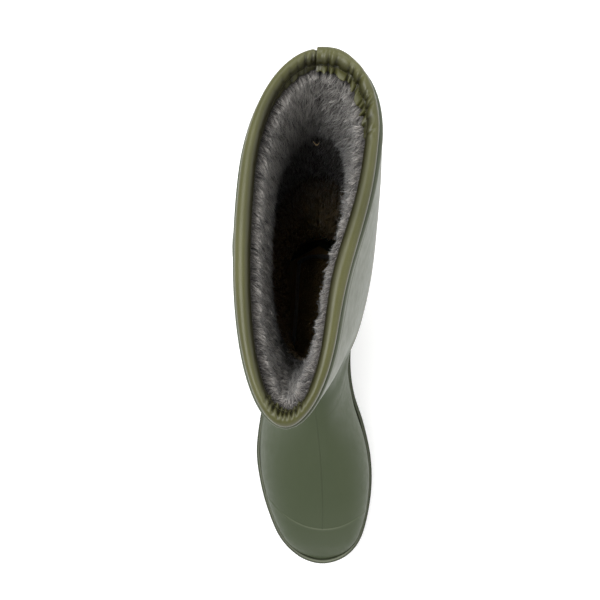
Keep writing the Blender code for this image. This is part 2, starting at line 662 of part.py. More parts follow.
def build_sole(tools):
    """Outsole with its lugs, midsole with the shank and the heel cushion, and the foxing band round them."""
    upper = plug()
    core = helper(slab(FOXING_WALL + GAP, SOLE_UNDER, SEAT, rise=-10.0, drop=-2.0))
    band = split_at_ball(
        "foxing_forepart", "foxing_heelpart",
        lambda: slab(0.5, SOLE_TOP, FOXING_TOP, rise=GAP), GREEN, 0.5, tools)
    for piece in band:
        boolean(piece, core)
        boolean(piece, upper)

    midsoles = split_at_ball(
        "midsole_forepart", "midsole_heelpart",
        lambda: slab(FOXING_WALL + 2 * GAP, SOLE_TOP, SEAT, rise=GAP, drop=-1.5), FELT, 0.9, tools)
    room = helper(strip(SHANK[0] + GAP, (SHANK_ENDS[0] + GAP, SHANK_ENDS[1] - GAP), -GAP * 3 - SHANK[1], 9.0))
    pad_centre, pad_radii, pad_bottom, _ = HEEL_PAD
    heel_room = helper(disc(pad_centre, [radius + GAP for radius in pad_radii], pad_bottom - GAP, 60.0))
    for piece in midsoles:
        boolean(piece, upper)
        boolean(piece, room)
    boolean(midsoles[1], heel_room)
    shank = new_object(
        "steel_shank", strip(SHANK[0], SHANK_ENDS, -GAP * 2 - SHANK[1], -GAP * 2), STEEL, 0.35, metallic=1.0)
    cushion = new_object("heel_cushion", disc(*HEEL_PAD), TAN, 0.6)
    boolean(shank, upper)
    boolean(cushion, upper)

    treads = helper(lug_mesh(forefoot_lugs() + heel_lugs()))
    pieces = split_at_ball(
        "outsole_forepart", "outsole_heelpart", lambda: slab(0.0, SOLE_UNDER, SOLE_TOP), BLACK, 0.6, tools)
    for piece, tool in zip(pieces, ("leaves_front", "leaves_rear")):
        piece.modifiers.clear()
        boolean(piece, treads, "UNION")
        boolean(piece, tools[tool])


def hang(body, axis, names):
    """Parents a body's pieces to an empty on the axis about which it turns."""
    pivot = bpy.data.objects.new(body, None)
    bpy.context.scene.collection.objects.link(pivot)
    pivot.location = Vector((0.0, *axis)) * MM
    for name in names:
        piece = bpy.data.objects[name]
        piece.parent = pivot
        piece.location = -pivot.location


def main():
    for obj in list(bpy.data.objects):
        bpy.data.objects.remove(obj)
    tools = cutters()
    build_leg(tools)
    build_collar()
    build_badge()
    heel_insulation = build_upper(tools)
    build_stiffeners(heel_insulation)
    build_guards()
    build_insoles(tools)
    build_sole(tools)
    hang("forefoot", BALL_AXIS, (
        "vamp_shell", "forefoot_insulation", "forefoot_lining", "toe_cap", "toe_puff", "outsole_forepart",
        "midsole_forepart", "foxing_forepart", "insole_board_forepart", "footbed_foam_forepart",
        "footbed_cover_forepart"))
    hang("leg", ANKLE_AXIS, (
        "leg_shell", "leg_insulation", "leg_lining", "collar_binding", "collar_cord", "collar_stitching",
        "side_badge"))
    hang("footbed", FOOTBED_AXIS, ("footbed_foam_heelpart", "footbed_cover_heelpart"))


main()
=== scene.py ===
"""The looks of a right-foot insulated hunting boot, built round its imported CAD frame.

Every surface comes from the same sock-shaped loft as the CAD solids, whose rings run from a point on the
front profile to a point on the back profile. Lengths are in millimetres until a mesh is made, in metres.
"""

import math

import bmesh
import bpy
import numpy as np
from mathutils import Matrix, Vector, noise


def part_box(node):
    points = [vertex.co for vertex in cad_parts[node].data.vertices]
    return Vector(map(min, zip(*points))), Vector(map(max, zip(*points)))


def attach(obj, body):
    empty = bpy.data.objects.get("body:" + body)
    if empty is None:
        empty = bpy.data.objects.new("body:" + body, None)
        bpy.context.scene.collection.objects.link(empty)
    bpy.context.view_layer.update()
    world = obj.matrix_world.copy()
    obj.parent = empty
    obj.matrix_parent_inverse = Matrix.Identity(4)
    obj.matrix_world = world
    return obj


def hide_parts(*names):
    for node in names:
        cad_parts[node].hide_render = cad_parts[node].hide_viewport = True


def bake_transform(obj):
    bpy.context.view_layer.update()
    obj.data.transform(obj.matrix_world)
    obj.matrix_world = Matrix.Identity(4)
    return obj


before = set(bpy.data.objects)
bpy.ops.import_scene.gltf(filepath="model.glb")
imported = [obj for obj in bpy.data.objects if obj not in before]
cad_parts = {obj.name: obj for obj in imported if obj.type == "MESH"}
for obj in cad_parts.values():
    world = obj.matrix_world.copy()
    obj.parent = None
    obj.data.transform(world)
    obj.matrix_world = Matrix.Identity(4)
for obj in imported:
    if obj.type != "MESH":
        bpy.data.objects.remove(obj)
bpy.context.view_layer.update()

MM = 0.001
TOP = 344  # top edge of the rubber leg
TOE_TIP, HEEL_BACK = -255, 40
SHELL = 2.2
WALL = 4.6  # rubber and the insulation bonded to it
CLOTH_DEPTH = (7, 8.8)  # of the plush's base cloth below the surface, in the leg and the foot
UPPER_INSET = 4  # how far the upper stands inside the sole's edge
HALF = 56  # columns in half a ring

# Where the boot flexes: the two bodies, and the start and end of a blend between them; pieces given these are
# baked in place, unbent
BALL = ("foot", "forefoot", (0, -0.135, 0.03), (0, -0.205, 0.03))
ANKLE = ("foot", "leg", (0, -0.035, 0.122), (0, -0.035, 0.215))

# The loft's stations down the leg, as in the CAD: front (y, z), back (y, z), x at the front and the back,
# half widths lateral and medial, their places, exponents, and how far the medial side is pressed in
LEG_STATIONS = (
    ((-132.8, TOP), (58, TOP), -14.7, 3.3, 36.2, 34.5, 0.65, 0.74, 2, 2.15, 6),
    ((-122, 300), (50.5, 300), -11, 2, 39.5, 37.4, 0.64, 0.72, 2.1, 2.15, 2.5),
    ((-111, 250), (44, 250), -9, 0.5, 42, 39.8, 0.62, 0.7, 2.05, 2.2, 0),
    ((-104, 205), (37.5, 205), -7, 0, 42, 40.6, 0.6, 0.68, 2.05, 2.2, 0),
    ((-100.5, 170), (32, 168), -6, 0, 41, 40.2, 0.6, 0.66, 2.1, 2.2, 0),
    ((-101, 152), (29.5, 133), -5.5, 0, 39.8, 39.2, 0.63, 0.66, 2.2, 2.2, 0),
    ((-104, 142), (30.5, 102), -5, 0, 38, 37, 0.67, 0.67, 2.2, 2.1, 0),
    ((-108, 134.5), (34, 73), -5, 0, 36, 35, 0.71, 0.71, 2.2, 2.1, 0),
    ((-113, 128.5), (36, 50), -5, 0, 34.2, 32.8, 0.75, 0.75, 2.2, 2.15, 0),
    ((-118, 123.5), (32, 33.5), -4.5, 0, 33.2, 31.8, 0.78, 0.78, 2.2, 2.4, 0),
)
# Its stations along the foot: front, back, x at the front and the back, place of the width, exponents
FOOT_STATIONS = (
    ((-124, 118.5), (8, 30.3), -4, -1, 0.8, 2.2, 3.4),
    ((-131, 113.5), (-28, 29), -3, -3, 0.8, 2.2, 4.4),
    ((-140, 108), (-66, 25.5), -2, -6, 0.79, 2.15, 5),
    ((-151, 101.5), (-104, 20.5), -1, -9, 0.77, 2.1, 5),
    ((-165, 94), (-138, 17.5), 0, -8, 0.75, 2.1, 5),
    ((-184, 85.5), (-168, 16.5), 1, -5, 0.73, 2.1, 5),
    ((-204, 76), (-196, 17.5), 1.5, -3, 0.7, 2.15, 4.5),
    ((-222, 65), (-218, 20), 1, -1, 0.66, 2.2, 4),
    ((-236, 53.5), (-234.5, 23), 0.5, 0, 0.6, 2.3, 3),
    ((-246, 42.5), (-245.5, 27), 0.5, 0.5, 0.55, 2.3, 2.4),
    ((-250.5, 36.5), (-250.5, 31.5), 0.5, 0.5, 0.5, 2.2, 2.2),
)
OUTLINE = (
    (0, HEEL_BACK), (-19, 35.5), (-33, 20), (-38.5, -5), (-41, -45), (-46, -90),
    (-54, -125), (-57.8, -158), (-54.5, -185), (-47.3, -210), (-36, -234), (-19, -249.5),
    (0.5, TOE_TIP), (19.5, -250), (33, -237), (40.5, -217), (45, -190), (44.5, -163),
    (38.8, -135), (30.5, -108), (27.6, -82), (29.5, -50), (34, -20), (35, 2),
    (31, 21), (18, 36),
)
# Heights at places along the foot
SOLE_TOP = (
    (60, 20), (-30, 19.5), (-66, 17), (-104, 13), (-138, 10.5), (-168, 9.8), (-196, 10.8),
    (-255, 21),
)
SOLE_UNDER = (
    (60, 6), (-38, 6), (-44, 9.5), (-66, 9.5), (-104, 6.4), (-120, 4.6), (-168, 4.4), (-205, 4.6),
    (-255, 13),
)
FOXING_TOP = (
    (60, 44), (-30, 42), (-66, 38), (-104, 34), (-138, 32.5), (-168, 32.5), (-196, 33.5),
    (-235, 35.8), (-255, 38),
)


def heights(table, at):
    """A table's heights at places along the foot."""
    ys = [y for y, _ in reversed(table)]
    zs = [z for _, z in reversed(table)]
    return np.interp(at, ys, zs)


def catmull(points, t):
    """The point at t of a smooth curve through the rows of points."""
    i = min(int(t), len(points) - 2)
    u = t - i
    p0, p1 = points[max(i - 1, 0)], points[i]
    p2, p3 = points[i + 1], points[min(i + 2, len(points) - 1)]
    return 0.5 * (2 * p1 + (p2 - p0) * u + (2 * p0 - 5 * p1 + 4 * p2 - p3) * u**2
                  + (3 * p1 - p0 - 3 * p2 + p3) * u**3)


def bell(x, width):
    return np.exp(-((x / width) ** 2))


def unit(v):
    """Vectors scaled to length 1."""
    return v / np.maximum(np.linalg.norm(v, axis=-1), 1e-9)[..., None]


def distances(points):
    """How far each point lies along a line of points."""
    return np.concatenate([[0], np.cumsum(np.linalg.norm(np.diff(points, axis=0), axis=1))])


def pick(at, gone, points):
    """Places on a line of points, whose own distances along it are gone."""
    return np.column_stack([np.interp(at, gone, points[:, k]) for k in range(3)])


def circle(count):
    return np.linspace(0, 2 * math.pi, count, endpoint=False)


def ease(x, low, high):
    u = np.clip((x - low) / (high - low), 0, 1)
    return u * u * (3 - 2 * u)


OUTLINE_ROWS = np.array(OUTLINE[-1:] + OUTLINE + OUTLINE[:2])
TOE_KNOT = OUTLINE.index((0.5, TOE_TIP))


def outline_loop(inset, count=360):
    """The sole's outline moved in by inset, from the heel round by the lateral side."""
    ts = 1 + np.arange(count) * len(OUTLINE) / count
    dense = np.array([catmull(OUTLINE_ROWS, t) for t in ts])
    ahead = np.array([catmull(OUTLINE_ROWS, t + 0.01) - catmull(OUTLINE_ROWS, t - 0.01) for t in ts])
    return dense + unit(np.stack([-ahead[:, 1], ahead[:, 0]], axis=1)) * inset


def edges(inset):
    """Two functions that give the lateral and the medial x of the sole's outline at y."""
    loop = outline_loop(inset, 12 * len(OUTLINE))
    toe = 12 * TOE_KNOT
    sides = loop[toe::-1], np.concatenate([loop[toe:], loop[:1]])
    return [lambda y, side=side: np.interp(y, side[:, 1], side[:, 0]) for side in sides]


def station_rows():
    """The stations as rows of numbers, in the order of LEG_STATIONS."""
    lateral_edge, medial_edge = edges(UPPER_INSET)
    rows = [(*front, *back, *rest) for front, back, *rest in LEG_STATIONS]
    for front, back, x_front, x_back, wide, n_front, n_back in FOOT_STATIONS:
        y = front[0] + (back[0] - front[0]) * wide
        shift = (x_back - x_front) * wide
        widths = x_front + shift - lateral_edge(y), medial_edge(y) - x_front - shift
        rows.append((*front, *back, x_front, x_back, *widths, wide, wide, n_front, n_back, 0))
    return np.array(rows, float)


ROWS = station_rows()
RAW = np.linspace(0, math.pi / 2, 40)  # angles that sample a quarter of a ring


def side_points(row, share, across, medial):
    """Points beside a ring's middle line, by their share of the way to the back and reach across."""
    place = row[0:2] + (row[2:4] - row[0:2]) * share[:, None]
    middle = row[4] + (row[5] - row[4]) * share
    return np.column_stack([middle + across if medial else middle - across, place])


def half_ring(row, depth, floor, medial):
    """One side of a ring from front to back, shrunk by depth, and by floor more at the sole."""
    wide, width = (row[9], row[7]) if medial else (row[8], row[6])
    length = np.linalg.norm(row[2:4] - row[0:2])
    cut_front, cut_back = depth / length, (depth + floor) / length
    first = wide - (wide - cut_front) * np.cos(RAW[:-1]) ** (2 / row[10])
    second = wide + (1 - cut_back - wide) * np.sin(RAW) ** (2 / row[11])
    share = np.concatenate([first, second])
    out = np.concatenate([np.sin(RAW[:-1]) ** (2 / row[10]), np.abs(np.cos(RAW)) ** (2 / row[11])])
    out[-1] = 0
    press = row[12] * bell(share - 0.37, 0.19) if medial else 0
    return side_points(row, share, (width - depth) * out - press * np.minimum(out * 2, 1), medial)


def evened(points, count, lead=0):
    """count + 1 points evenly along a line of points; with lead, one more, the first three lead apart."""
    gone = distances(points)
    at = np.linspace(0, gone[-1], count + 1)
    if lead:
        at[1:] = lead * 2 + (at[1:] - at[1]) * (gone[-1] - lead * 2) / (gone[-1] - at[1])
        at = np.insert(at, 1, lead)
    return pick(at, gone, points)


def ring(t, depth=0, floor=0, half=HALF, lead=0):
    """A closed ring of evenly spaced points, from the front round by the medial side."""
    row = catmull(ROWS, t)
    medial, lateral = (evened(half_ring(row, depth, floor, side), half, lead) for side in (True, False))
    return np.concatenate([medial, lateral[-2:0:-1]])


def leg_place(z):
    """The place along the stations of the leg's ring at height z."""
    low, high = 0, 3
    for _ in range(30):
        t = (low + high) / 2
        low, high = (t, high) if catmull(ROWS, t)[1] > z else (low, t)
    return low


def collar_ring(z, depth, half=HALF):
    """The leg's ring at height z, or above the leg, its top ring lifted."""
    points = ring(leg_place(min(z, TOP - 0.01)), depth, half=half)
    points[:, 2] = z
    return points


# --- meshes ---


def mesh_of(name, points, faces):
    """An object with a mesh of points in millimetres and faces."""
    mesh = bpy.data.meshes.new(name)
    mesh.from_pydata(np.asarray(points) * MM, [], faces)
    return bpy.data.objects.new(name, mesh)


def make_object(name, points, faces, smooth_deg=40):
    """A smooth-shaded mesh object with outward faces."""
    obj = mesh_of(name, points, faces)
    mesh = obj.data
    mesh.validate()
    bm = bmesh.new()
    bm.from_mesh(mesh)
    bmesh.ops.recalc_face_normals(bm, faces=bm.faces)
    bm.to_mesh(mesh)
    bm.free()
    mesh.shade_smooth()
    mesh.set_sharp_from_angle(angle=math.radians(smooth_deg))
    return put(obj)


def put(obj):
    bpy.context.scene.collection.objects.link(obj)
    return obj


def grid_faces(rows, cols, wrap_rows=False, wrap_cols=True):
    """Quads of a grid of rows times cols points."""
    a, b = np.indices((rows - (not wrap_rows), cols - (not wrap_cols))).reshape(2, -1)
    a2, b2 = (a + 1) % rows, (b + 1) % cols
    return np.column_stack([a * cols + b, a * cols + b2, a2 * cols + b2, a2 * cols + b])


def closed_grid(name, rows, ends="open", smooth_deg=40):
    """A mesh from rings of points, whose ends "loop" joins and "caps" closes."""
    rows = np.asarray(rows)
    n, m = rows.shape[:2]
    points = rows.reshape(-1, 3)
    faces = [tuple(f) for f in grid_faces(n, m, wrap_rows=ends == "loop")]
    if ends == "caps":
        points = np.vstack([points, rows[0].mean(0), rows[-1].mean(0)])
        for j in range(m):
            faces.append((j, (j + 1) % m, n * m))
            faces.append(((n - 1) * m + j, (n - 1) * m + (j + 1) % m, n * m + 1))
    return make_object(name, points, faces, smooth_deg)


def sheet_solid(name, outer, inner, smooth_deg=40):
    """A closed plate between two grids of points that aren't wrapped."""
    return closed_grid(name, np.concatenate([outer, inner[:, ::-1]], axis=1), "caps", smooth_deg)


# --- materials ---


class Shader:
    """A material or a world being wired up."""

    def __init__(self, name, world=False):
        self.made = (bpy.data.worlds if world else bpy.data.materials).new(name)
        self.made.use_nodes = True
        self.tree = self.made.node_tree
        self.surface = self.tree.nodes["Background" if world else "Principled BSDF"]
        self.place = self.node("TexCoord").outputs["Generated" if world else "Object"]

    def node(self, kind, inputs=None, **settings):
        """Adds a node, and links or sets its inputs."""
        made = self.tree.nodes.new("ShaderNode" + kind)
        for key, value in settings.items():
            setattr(made, key, value)
        for key, value in (inputs or {}).items():
            self.feed(made.inputs[key], value)
        return made

    def feed(self, socket, value):
        if isinstance(value, bpy.types.NodeSocket):
            self.tree.links.new(value, socket)
        else:
            socket.default_value = value

    def set(self, **values):
        for key, value in values.items():
            self.feed(self.surface.inputs[key.replace("_", " ")], value)

    def noise(self, scale, detail=4, rough=0.5, stretch=None):
        """Noise with scale features per metre, drawn out by stretch."""
        place = self.place
        if stretch:
            place = self.node("Mapping", {"Vector": place, "Scale": stretch}).outputs[0]
        return self.node("TexNoise", {"Vector": place, "Scale": scale, "Detail": detail,
                                                "Roughness": rough}).outputs["Fac"]

    def cells(self, scale):
        return self.node("TexVoronoi", {"Vector": self.place, "Scale": scale}).outputs["Distance"]

    def ramp(self, fac, stops):
        """A colour ramp from (place, colour) stops."""
        made = self.node("ValToRGB", {"Fac": fac})
        ramp = made.color_ramp
        while len(ramp.elements) < len(stops):
            ramp.elements.new(0.5)
        for element, (at, colour) in zip(ramp.elements, stops):
            element.position = at
            element.color = (*colour, 1)
        return made.outputs["Color"]

    def blotch(self, fac, dark, pale, ends=(0.3, 0.7)):
        """A colour between two, pure where fac is at the ends."""
        return self.ramp(fac, tuple(zip(ends, (dark, pale))))

    def mix(self, fac, a, b):
        made = self.node("Mix", data_type="RGBA")
        self.feed(made.inputs[0], fac)
        for socket, value in ((made.inputs[6], a), (made.inputs[7], b)):
            self.feed(socket, value if isinstance(value, bpy.types.NodeSocket) else (*value, 1))
        return made.outputs[2]

    def tint(self, fac, other):
        """Mixes another colour into the material's own."""
        self.colour = self.mix(fac, self.colour, other)

    def maths(self, a, b, operation="MULTIPLY"):
        return self.node("Math", {0: a, 1: b}, operation=operation).outputs[0]

    def span(self, value, low, high, to_low=0, to_high=1):
        """The value, with low to high made to_low to to_high."""
        inputs = {"Value": value, "From Min": low, "From Max": high, "To Min": to_low, "To Max": to_high}
        return self.node("MapRange", inputs).outputs[0]

    def painted(self, name):
        """A number painted on the mesh, 0 where it has none."""
        return self.node("Attribute", attribute_name=name).outputs["Fac"]

    def pointed(self):
        """About 0.5 where flat, more on ridges and less in hollows."""
        return self.node("NewGeometry").outputs["Pointiness"]

    def axis(self, name):
        return self.node("SeparateXYZ", {"Vector": self.place}).outputs[name]

    def done(self, rough, specular, *bumps, **others):
        """The material, with its colour on and its bumps stacked: (height, strength, metres)."""
        self.set(Base_Color=self.colour, Roughness=rough, Specular_IOR_Level=specular, **others)
        normal = None
        for height, strength, distance in bumps:
            made = self.node("Bump", {"Height": height, "Strength": strength, "Distance": distance})
            if normal is not None:
                self.feed(made.inputs["Normal"], normal)
            normal = made.outputs[0]
        self.feed(self.surface.inputs["Normal"], normal)
        return self.made


def rubber_material():
    """Green rubber with an orange peel, a painted grey sheen on the leg at a slant, painted edge highlights.
    """
    m = Shader("moulded_rubber")
    height = m.axis("Z")
    fine = m.noise(160, 3, 0.6)
    streaks = m.noise(26, 4, 0.6, (1, 1, 0.22))
    foot = m.blotch(m.noise(9, 3), (0.048, 0.062, 0.032), (0.059, 0.074, 0.039))
    leg = m.blotch(streaks, (0.05, 0.062, 0.033), (0.07, 0.083, 0.047))
    m.colour = m.mix(m.span(height, 0.13, 0.22), foot, leg)
    # Painted sheen: pale grey mixed into the leg where it is seen at a slant
    slant = m.maths(m.node("LayerWeight", {"Blend": 0.36}).outputs["Facing"], 1.6, "POWER")
    painted_sheen = m.maths(slant, m.span(height, 0.13, 0.22, 0, 0.39))
    m.tint(painted_sheen, (0.2, 0.21, 0.175))
    m.tint(m.maths(fine, 0.07), (0.12, 0.13, 0.09))
    m.tint(m.maths(m.painted("line"), 0.28), (0.02, 0.026, 0.012))
    # Painted highlight along the toe cap's raised back edge
    m.tint(m.maths(m.painted("painted_highlight"), 0.45), (0.2, 0.215, 0.155))
    # Painted highlight: paler on the sharp edges of the hem at the top of the leg
    hem = m.maths(m.span(m.pointed(), 0.53, 0.62, 0, 0.55), m.span(height, 0.325, 0.33))
    m.tint(hem, (0.26, 0.27, 0.21))
    return m.done(m.span(fine, 0.3, 0.7, 0.44, 0.56), m.span(height, 0.13, 0.22, 0.15, 0.4),
                  (m.noise(900, 2), 0.22, 0.00012), (m.noise(70, 2), 0.25, 0.0003))


def band_material():
    """The foxing's rubber: darker than the foot's, with a painted highlight along its upper edge."""
    m = Shader("band_rubber")
    fine = m.noise(220, 3, 0.6)
    m.colour = m.blotch(m.noise(12), (0.025, 0.033, 0.016), (0.033, 0.042, 0.021))
    # Painted highlight along the crest of the band's rounded top
    m.tint(m.maths(m.painted("painted_highlight"), 0.9), (0.24, 0.255, 0.19))
    return m.done(m.span(fine, 0.3, 0.7, 0.44, 0.56), 0.2, (m.noise(800, 2), 0.2, 0.0001))


def tread_material():
    """The outsole: darker, with a dusty, scuffed underside."""
    m = Shader("tread_rubber")
    dust = m.noise(55, 6, 0.7)
    m.colour = m.blotch(dust, (0.026, 0.033, 0.019), (0.048, 0.055, 0.036), (0.35, 0.75))
    low = m.span(m.axis("Z"), 0.0035, 0, 0, 0.35)
    m.tint(low, (0.11, 0.105, 0.085))
    return m.done(m.span(dust, 0.3, 0.7, 0.55, 0.8), 0.35, (m.noise(500, 3), 0.4, 0.0002))


def binding_material():
    """Olive leatherette with a fine pebble grain, painted shade in its folds and by the plush, painted ridge
    highlights.
    """
    m = Shader("binding_leatherette")
    pebbles = m.cells(1500)
    m.colour = m.blotch(m.noise(28), (0.053, 0.054, 0.014), (0.08, 0.08, 0.024), (0.3, 0.72))
    m.tint(m.span(pebbles, 0, 0.6, 0.2, 0), (0.03, 0.028, 0.01))
    # Painted shade in hollows
    m.tint(m.span(m.pointed(), 0.47, 0.4, 0, 0.75), (0.012, 0.01, 0.004))
    # Painted highlight on ridges
    m.tint(m.span(m.pointed(), 0.53, 0.62, 0, 0.3), (0.19, 0.185, 0.11))
    # Painted shade from the roll's map: its inner side, its foot by the rubber, its creases, under the lap
    m.tint(m.maths(m.painted("painted_shade"), 0.9), (0.01, 0.009, 0.003))
    return m.done(m.span(m.noise(90), 0.3, 0.7, 0.36, 0.46), 0.34, (pebbles, 0.35, 0.0001),
                  (m.noise(120, 3), 0.3, 0.00035), Coat_Weight=0.08, Coat_Roughness=0.33)


def pile_material():
    """Plush fibres, pale at the tip, each with its own tone, and painted shade deeper in the boot."""
    m = Shader("plush_pile")
    m.colour = m.ramp(m.painted("along"), ((0, (0.02, 0.018, 0.015)), (0.45, (0.127, 0.117, 0.106)),
                                         (1, (0.82, 0.78, 0.73))))
    m.colour = m.mix(m.painted("shade"), (0.028, 0.025, 0.023), m.colour)
    # Painted shade: darker deeper in the boot
    m.tint(m.span(m.axis("Z"), 0.34, 0.268, 0, 0.95), (0.032, 0.026, 0.018))
    m.tint(m.span(m.axis("Z"), 0.23, 0.15), (0.38, 0.27, 0.12))
    return m.done(0.58, 0.35, (m.noise(1500, 2), 0.2, 0.0001), Sheen_Weight=0.3, Sheen_Roughness=0.4)


def pile_cloth_material():
    """The cloth under the pile, seen between the fibres."""
    m = Shader("plush_cloth")
    tufts = m.noise(700, 6, 0.7)
    m.colour = m.blotch(tufts, (0.02, 0.018, 0.016), (0.07, 0.065, 0.061))
    # Painted shade: darker deeper in the boot
    m.tint(m.span(m.axis("Z"), 0.335, 0.25, 0, 0.9), (0.04, 0.028, 0.012))
    m.tint(m.span(m.axis("Z"), 0.23, 0.15), (0.34, 0.24, 0.1))
    return m.done(0.95, 0.1, (tufts, 0.9, 0.0012), Sheen_Weight=0.2)


def felt_material(name, low, high, scale=900):
    """Felt, foam or board: a fibrous matt surface between two colours."""
    m = Shader(name)
    fibres = m.noise(scale, 6, 0.7)
    m.colour = m.blotch(fibres, low, high)
    return m.done(0.92, 0.15, (fibres, 0.5, 0.0003))


def thread_material(name, low, high):
    """Twisted thread."""
    m = Shader(name)
    twist = m.noise(2600, 2)
    m.colour = m.blotch(twist, low, high, (0.35, 0.65))
    return m.done(0.6, 0.3, (twist, 0.5, 0.0001))


def steel_material():
    """Plain rolled steel with fine lengthwise scratches."""
    m = Shader("shank_steel")
    scratches = m.noise(600, 3, 0.6, (8, 0.6, 8))
    m.colour = m.blotch(scratches, (0.33, 0.33, 0.34), (0.5, 0.5, 0.51))
    return m.done(m.span(scratches, 0.3, 0.7, 0.28, 0.45), 0.5, (scratches, 0.3, 0.0001), Metallic=1)


def fit(obj, material, slot, place, *replaced):
    """Gives an object its material, its body or, where place is a bend, a baked transform, and hides the CAD
    nodes it replaces; slot is not used.
    """
    obj.data.materials.append(material)
    if replaced:
        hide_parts(*replaced)
    if isinstance(place, str):
        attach(obj, place)
    else:
        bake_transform(obj)


# --- the rubber skins ---

SEAM = 11  # the ring where the skin of the leg and heel meets the skin of the vamp
RIDGE = 0.45  # half width of the mould line down the front


def moulded(t, depth=0):
    """An outer ring of the rubber with its mould line raised at the front."""
    points = ring(t, depth, lead=RIDGE)
    points[0, 1] -= 0.12
    points[0, 2] += 0.16
    return points


def paint(obj, name, values):
    """Stores numbers on an object's first points, and 0 on the rest, for its material."""
    whole = np.zeros(len(obj.data.vertices), np.float32)
    whole[: np.size(values)] = np.ravel(values)
    obj.data.attributes.new(name, "FLOAT", "POINT").data.foreach_set("value", whole)


def paint_line(obj, columns, first, last):
    """Marks the mould line, on the rows that lie outside."""
    line = np.zeros((last, columns))
    line[first:, 0] = 1
    line[first:, (1, -1)] = 0.35
    paint(obj, "line", line)


def hem_depth(z):
    """How far the leg's surface stands in: a groove, a bead and a rounded edge at its top."""
    if z < TOP - 7.5:
        return 0
    groove = 0.45 * bell(z - (TOP - 5.6), 0.7)
    rounding = 0.9 * max(0, z - (TOP - 1)) ** 2
    bead = -0.35 * bell(z - (TOP - 2.6), 1.9)
    return groove + bead + rounding


def build_skins(rubber):
    """The leg with the heel, and the vamp with the toe, each one closed wall."""
    below = (0.02, 0.35, 0.7, 1.2, 2, 3, 4, 4.8, 5.3, 5.6, 5.9, 6.4, 7.2, 8.2, 10)
    hem_levels = [TOP - h for h in below]
    hem = [leg_place(z) for z in hem_levels]
    ts = np.concatenate([np.arange(hem[-1] + 0.06, 5, 0.06), np.arange(5, SEAM, 0.12), [SEAM]])
    outer = [moulded(t, hem_depth(z)) for t, z in zip(hem, hem_levels)] + [moulded(t) for t in ts]
    inner = [ring(t, WALL, half=HALF + 1) for t in np.linspace(leg_place(TOP - 2), SEAM, 90)]
    lip = ring(leg_place(TOP - 0.02), SHELL - 0.5, half=HALF + 1)
    lip_in = ring(leg_place(TOP - 0.5), SHELL, half=HALF + 1)
    rear = closed_grid("rubber_leg_and_heel", outer + inner[::-1] + [lip_in, lip], ends="loop")
    paint_line(rear, len(outer[0]), 0, len(outer))
    fit(rear, rubber, "foot_rubber", ANKLE, "leg_shell", "quarter_shell", "leg_insulation", "heel_insulation")

    lap = [moulded(t, 0.5) for t in (SEAM - 0.35, SEAM - 0.2)] + [moulded(SEAM - 0.05, 0.25)]
    front = lap + [moulded(t) for t in np.concatenate([[SEAM], np.arange(SEAM + 0.1, 20, 0.09), [20]])]
    back = [ring(t, WALL - 1, half=HALF + 1) for t in np.linspace(SEAM - 0.35, 19.2, 60)]
    tip_in = back[-1] * 0.5 + back[-1].mean(0) * 0.5
    rounds = [front[-1] * (1 - k) + front[-1].mean(0) * k for k in (0.35, 0.7)]
    for k, loop in zip((0.5, 0.75), rounds):
        loop[:, 1] -= k
    vamp = closed_grid("rubber_vamp", rounds[::-1] + front[::-1] + back + [tip_in], ends="caps")
    paint_line(vamp, len(front[0]), 2, len(front) + 2)
    fit(vamp, rubber, "foot_rubber", BALL, "vamp_shell", "forefoot_insulation")


def build_toe_cap(rubber):
    """The low step moulded over the toe, with its curved back edge."""
    edge_y = lambda x: -221 + 0.0105 * (x - 2) ** 2
    outer, inner = (np.array([ring(t, depth, half=80) for t in np.linspace(15.2, 19, 110)])
                    for depth in (0, 0.9))
    beyond = edge_y(outer[:, :, 0]) - outer[:, :, 1]
    rise = 0.26 * ease(beyond, 0, 1.2) + 0.2 * bell(beyond - 1, 0.8)
    rise -= 1.3 * ease(-beyond, 0, 1.5)
    lifted = outer + unit(outer - inner) * rise[:, :, None]
    keep = beyond.max(axis=1) > -1.6
    lifted, inner = lifted[keep], inner[keep]
    cap = closed_grid("toe_cap_step", np.concatenate([lifted, inner[::-1]]), ends="loop")
    middle = bell(outer[keep][:, :, 0] - 2, 34)
    # Painted highlight along the cap's raised back edge, fading toward the sides
    paint(cap, "painted_highlight", 0.9 * middle * bell(beyond[keep] - 0.3, 0.7))
    fit(cap, rubber, "foot_rubber", "forefoot", "toe_cap")


def build_heel_guard(rubber):
    """The thicker rubber up the back of the heel, with ribs for pushing the boot off."""
    ts = np.linspace(6.2, 8.15, 60)
    half, reach = 80, 24
    outer, inner = [], []
    side = np.abs(np.linspace(-1, 1, 2 * reach + 1))
    for i, t in enumerate(ts):
        base, deep = (ring(t, depth, half=half)[half - reach : half + reach + 1] for depth in (0, 0.8))
        along = abs(2 * i / (len(ts) - 1) - 1)
        corner = (side ** 5 + along ** 5) ** 0.2
        rib = 0.35 * (0.5 + 0.5 * np.cos(i / (len(ts) - 1) * 2 * math.pi * 7)) * (corner < 0.82)
        rise = 1.25 * (1 - ease(corner, 0.9, 1)) - 0.5 * ease(corner, 0.97, 1) + rib
        outer.append(base + unit(base - deep) * rise[:, None])
        inner.append(deep)
    guard = sheet_solid("heel_guard_ribs", np.array(outer), np.array(inner))
    fit(guard, rubber, "foot_rubber", "foot", "heel_guard")


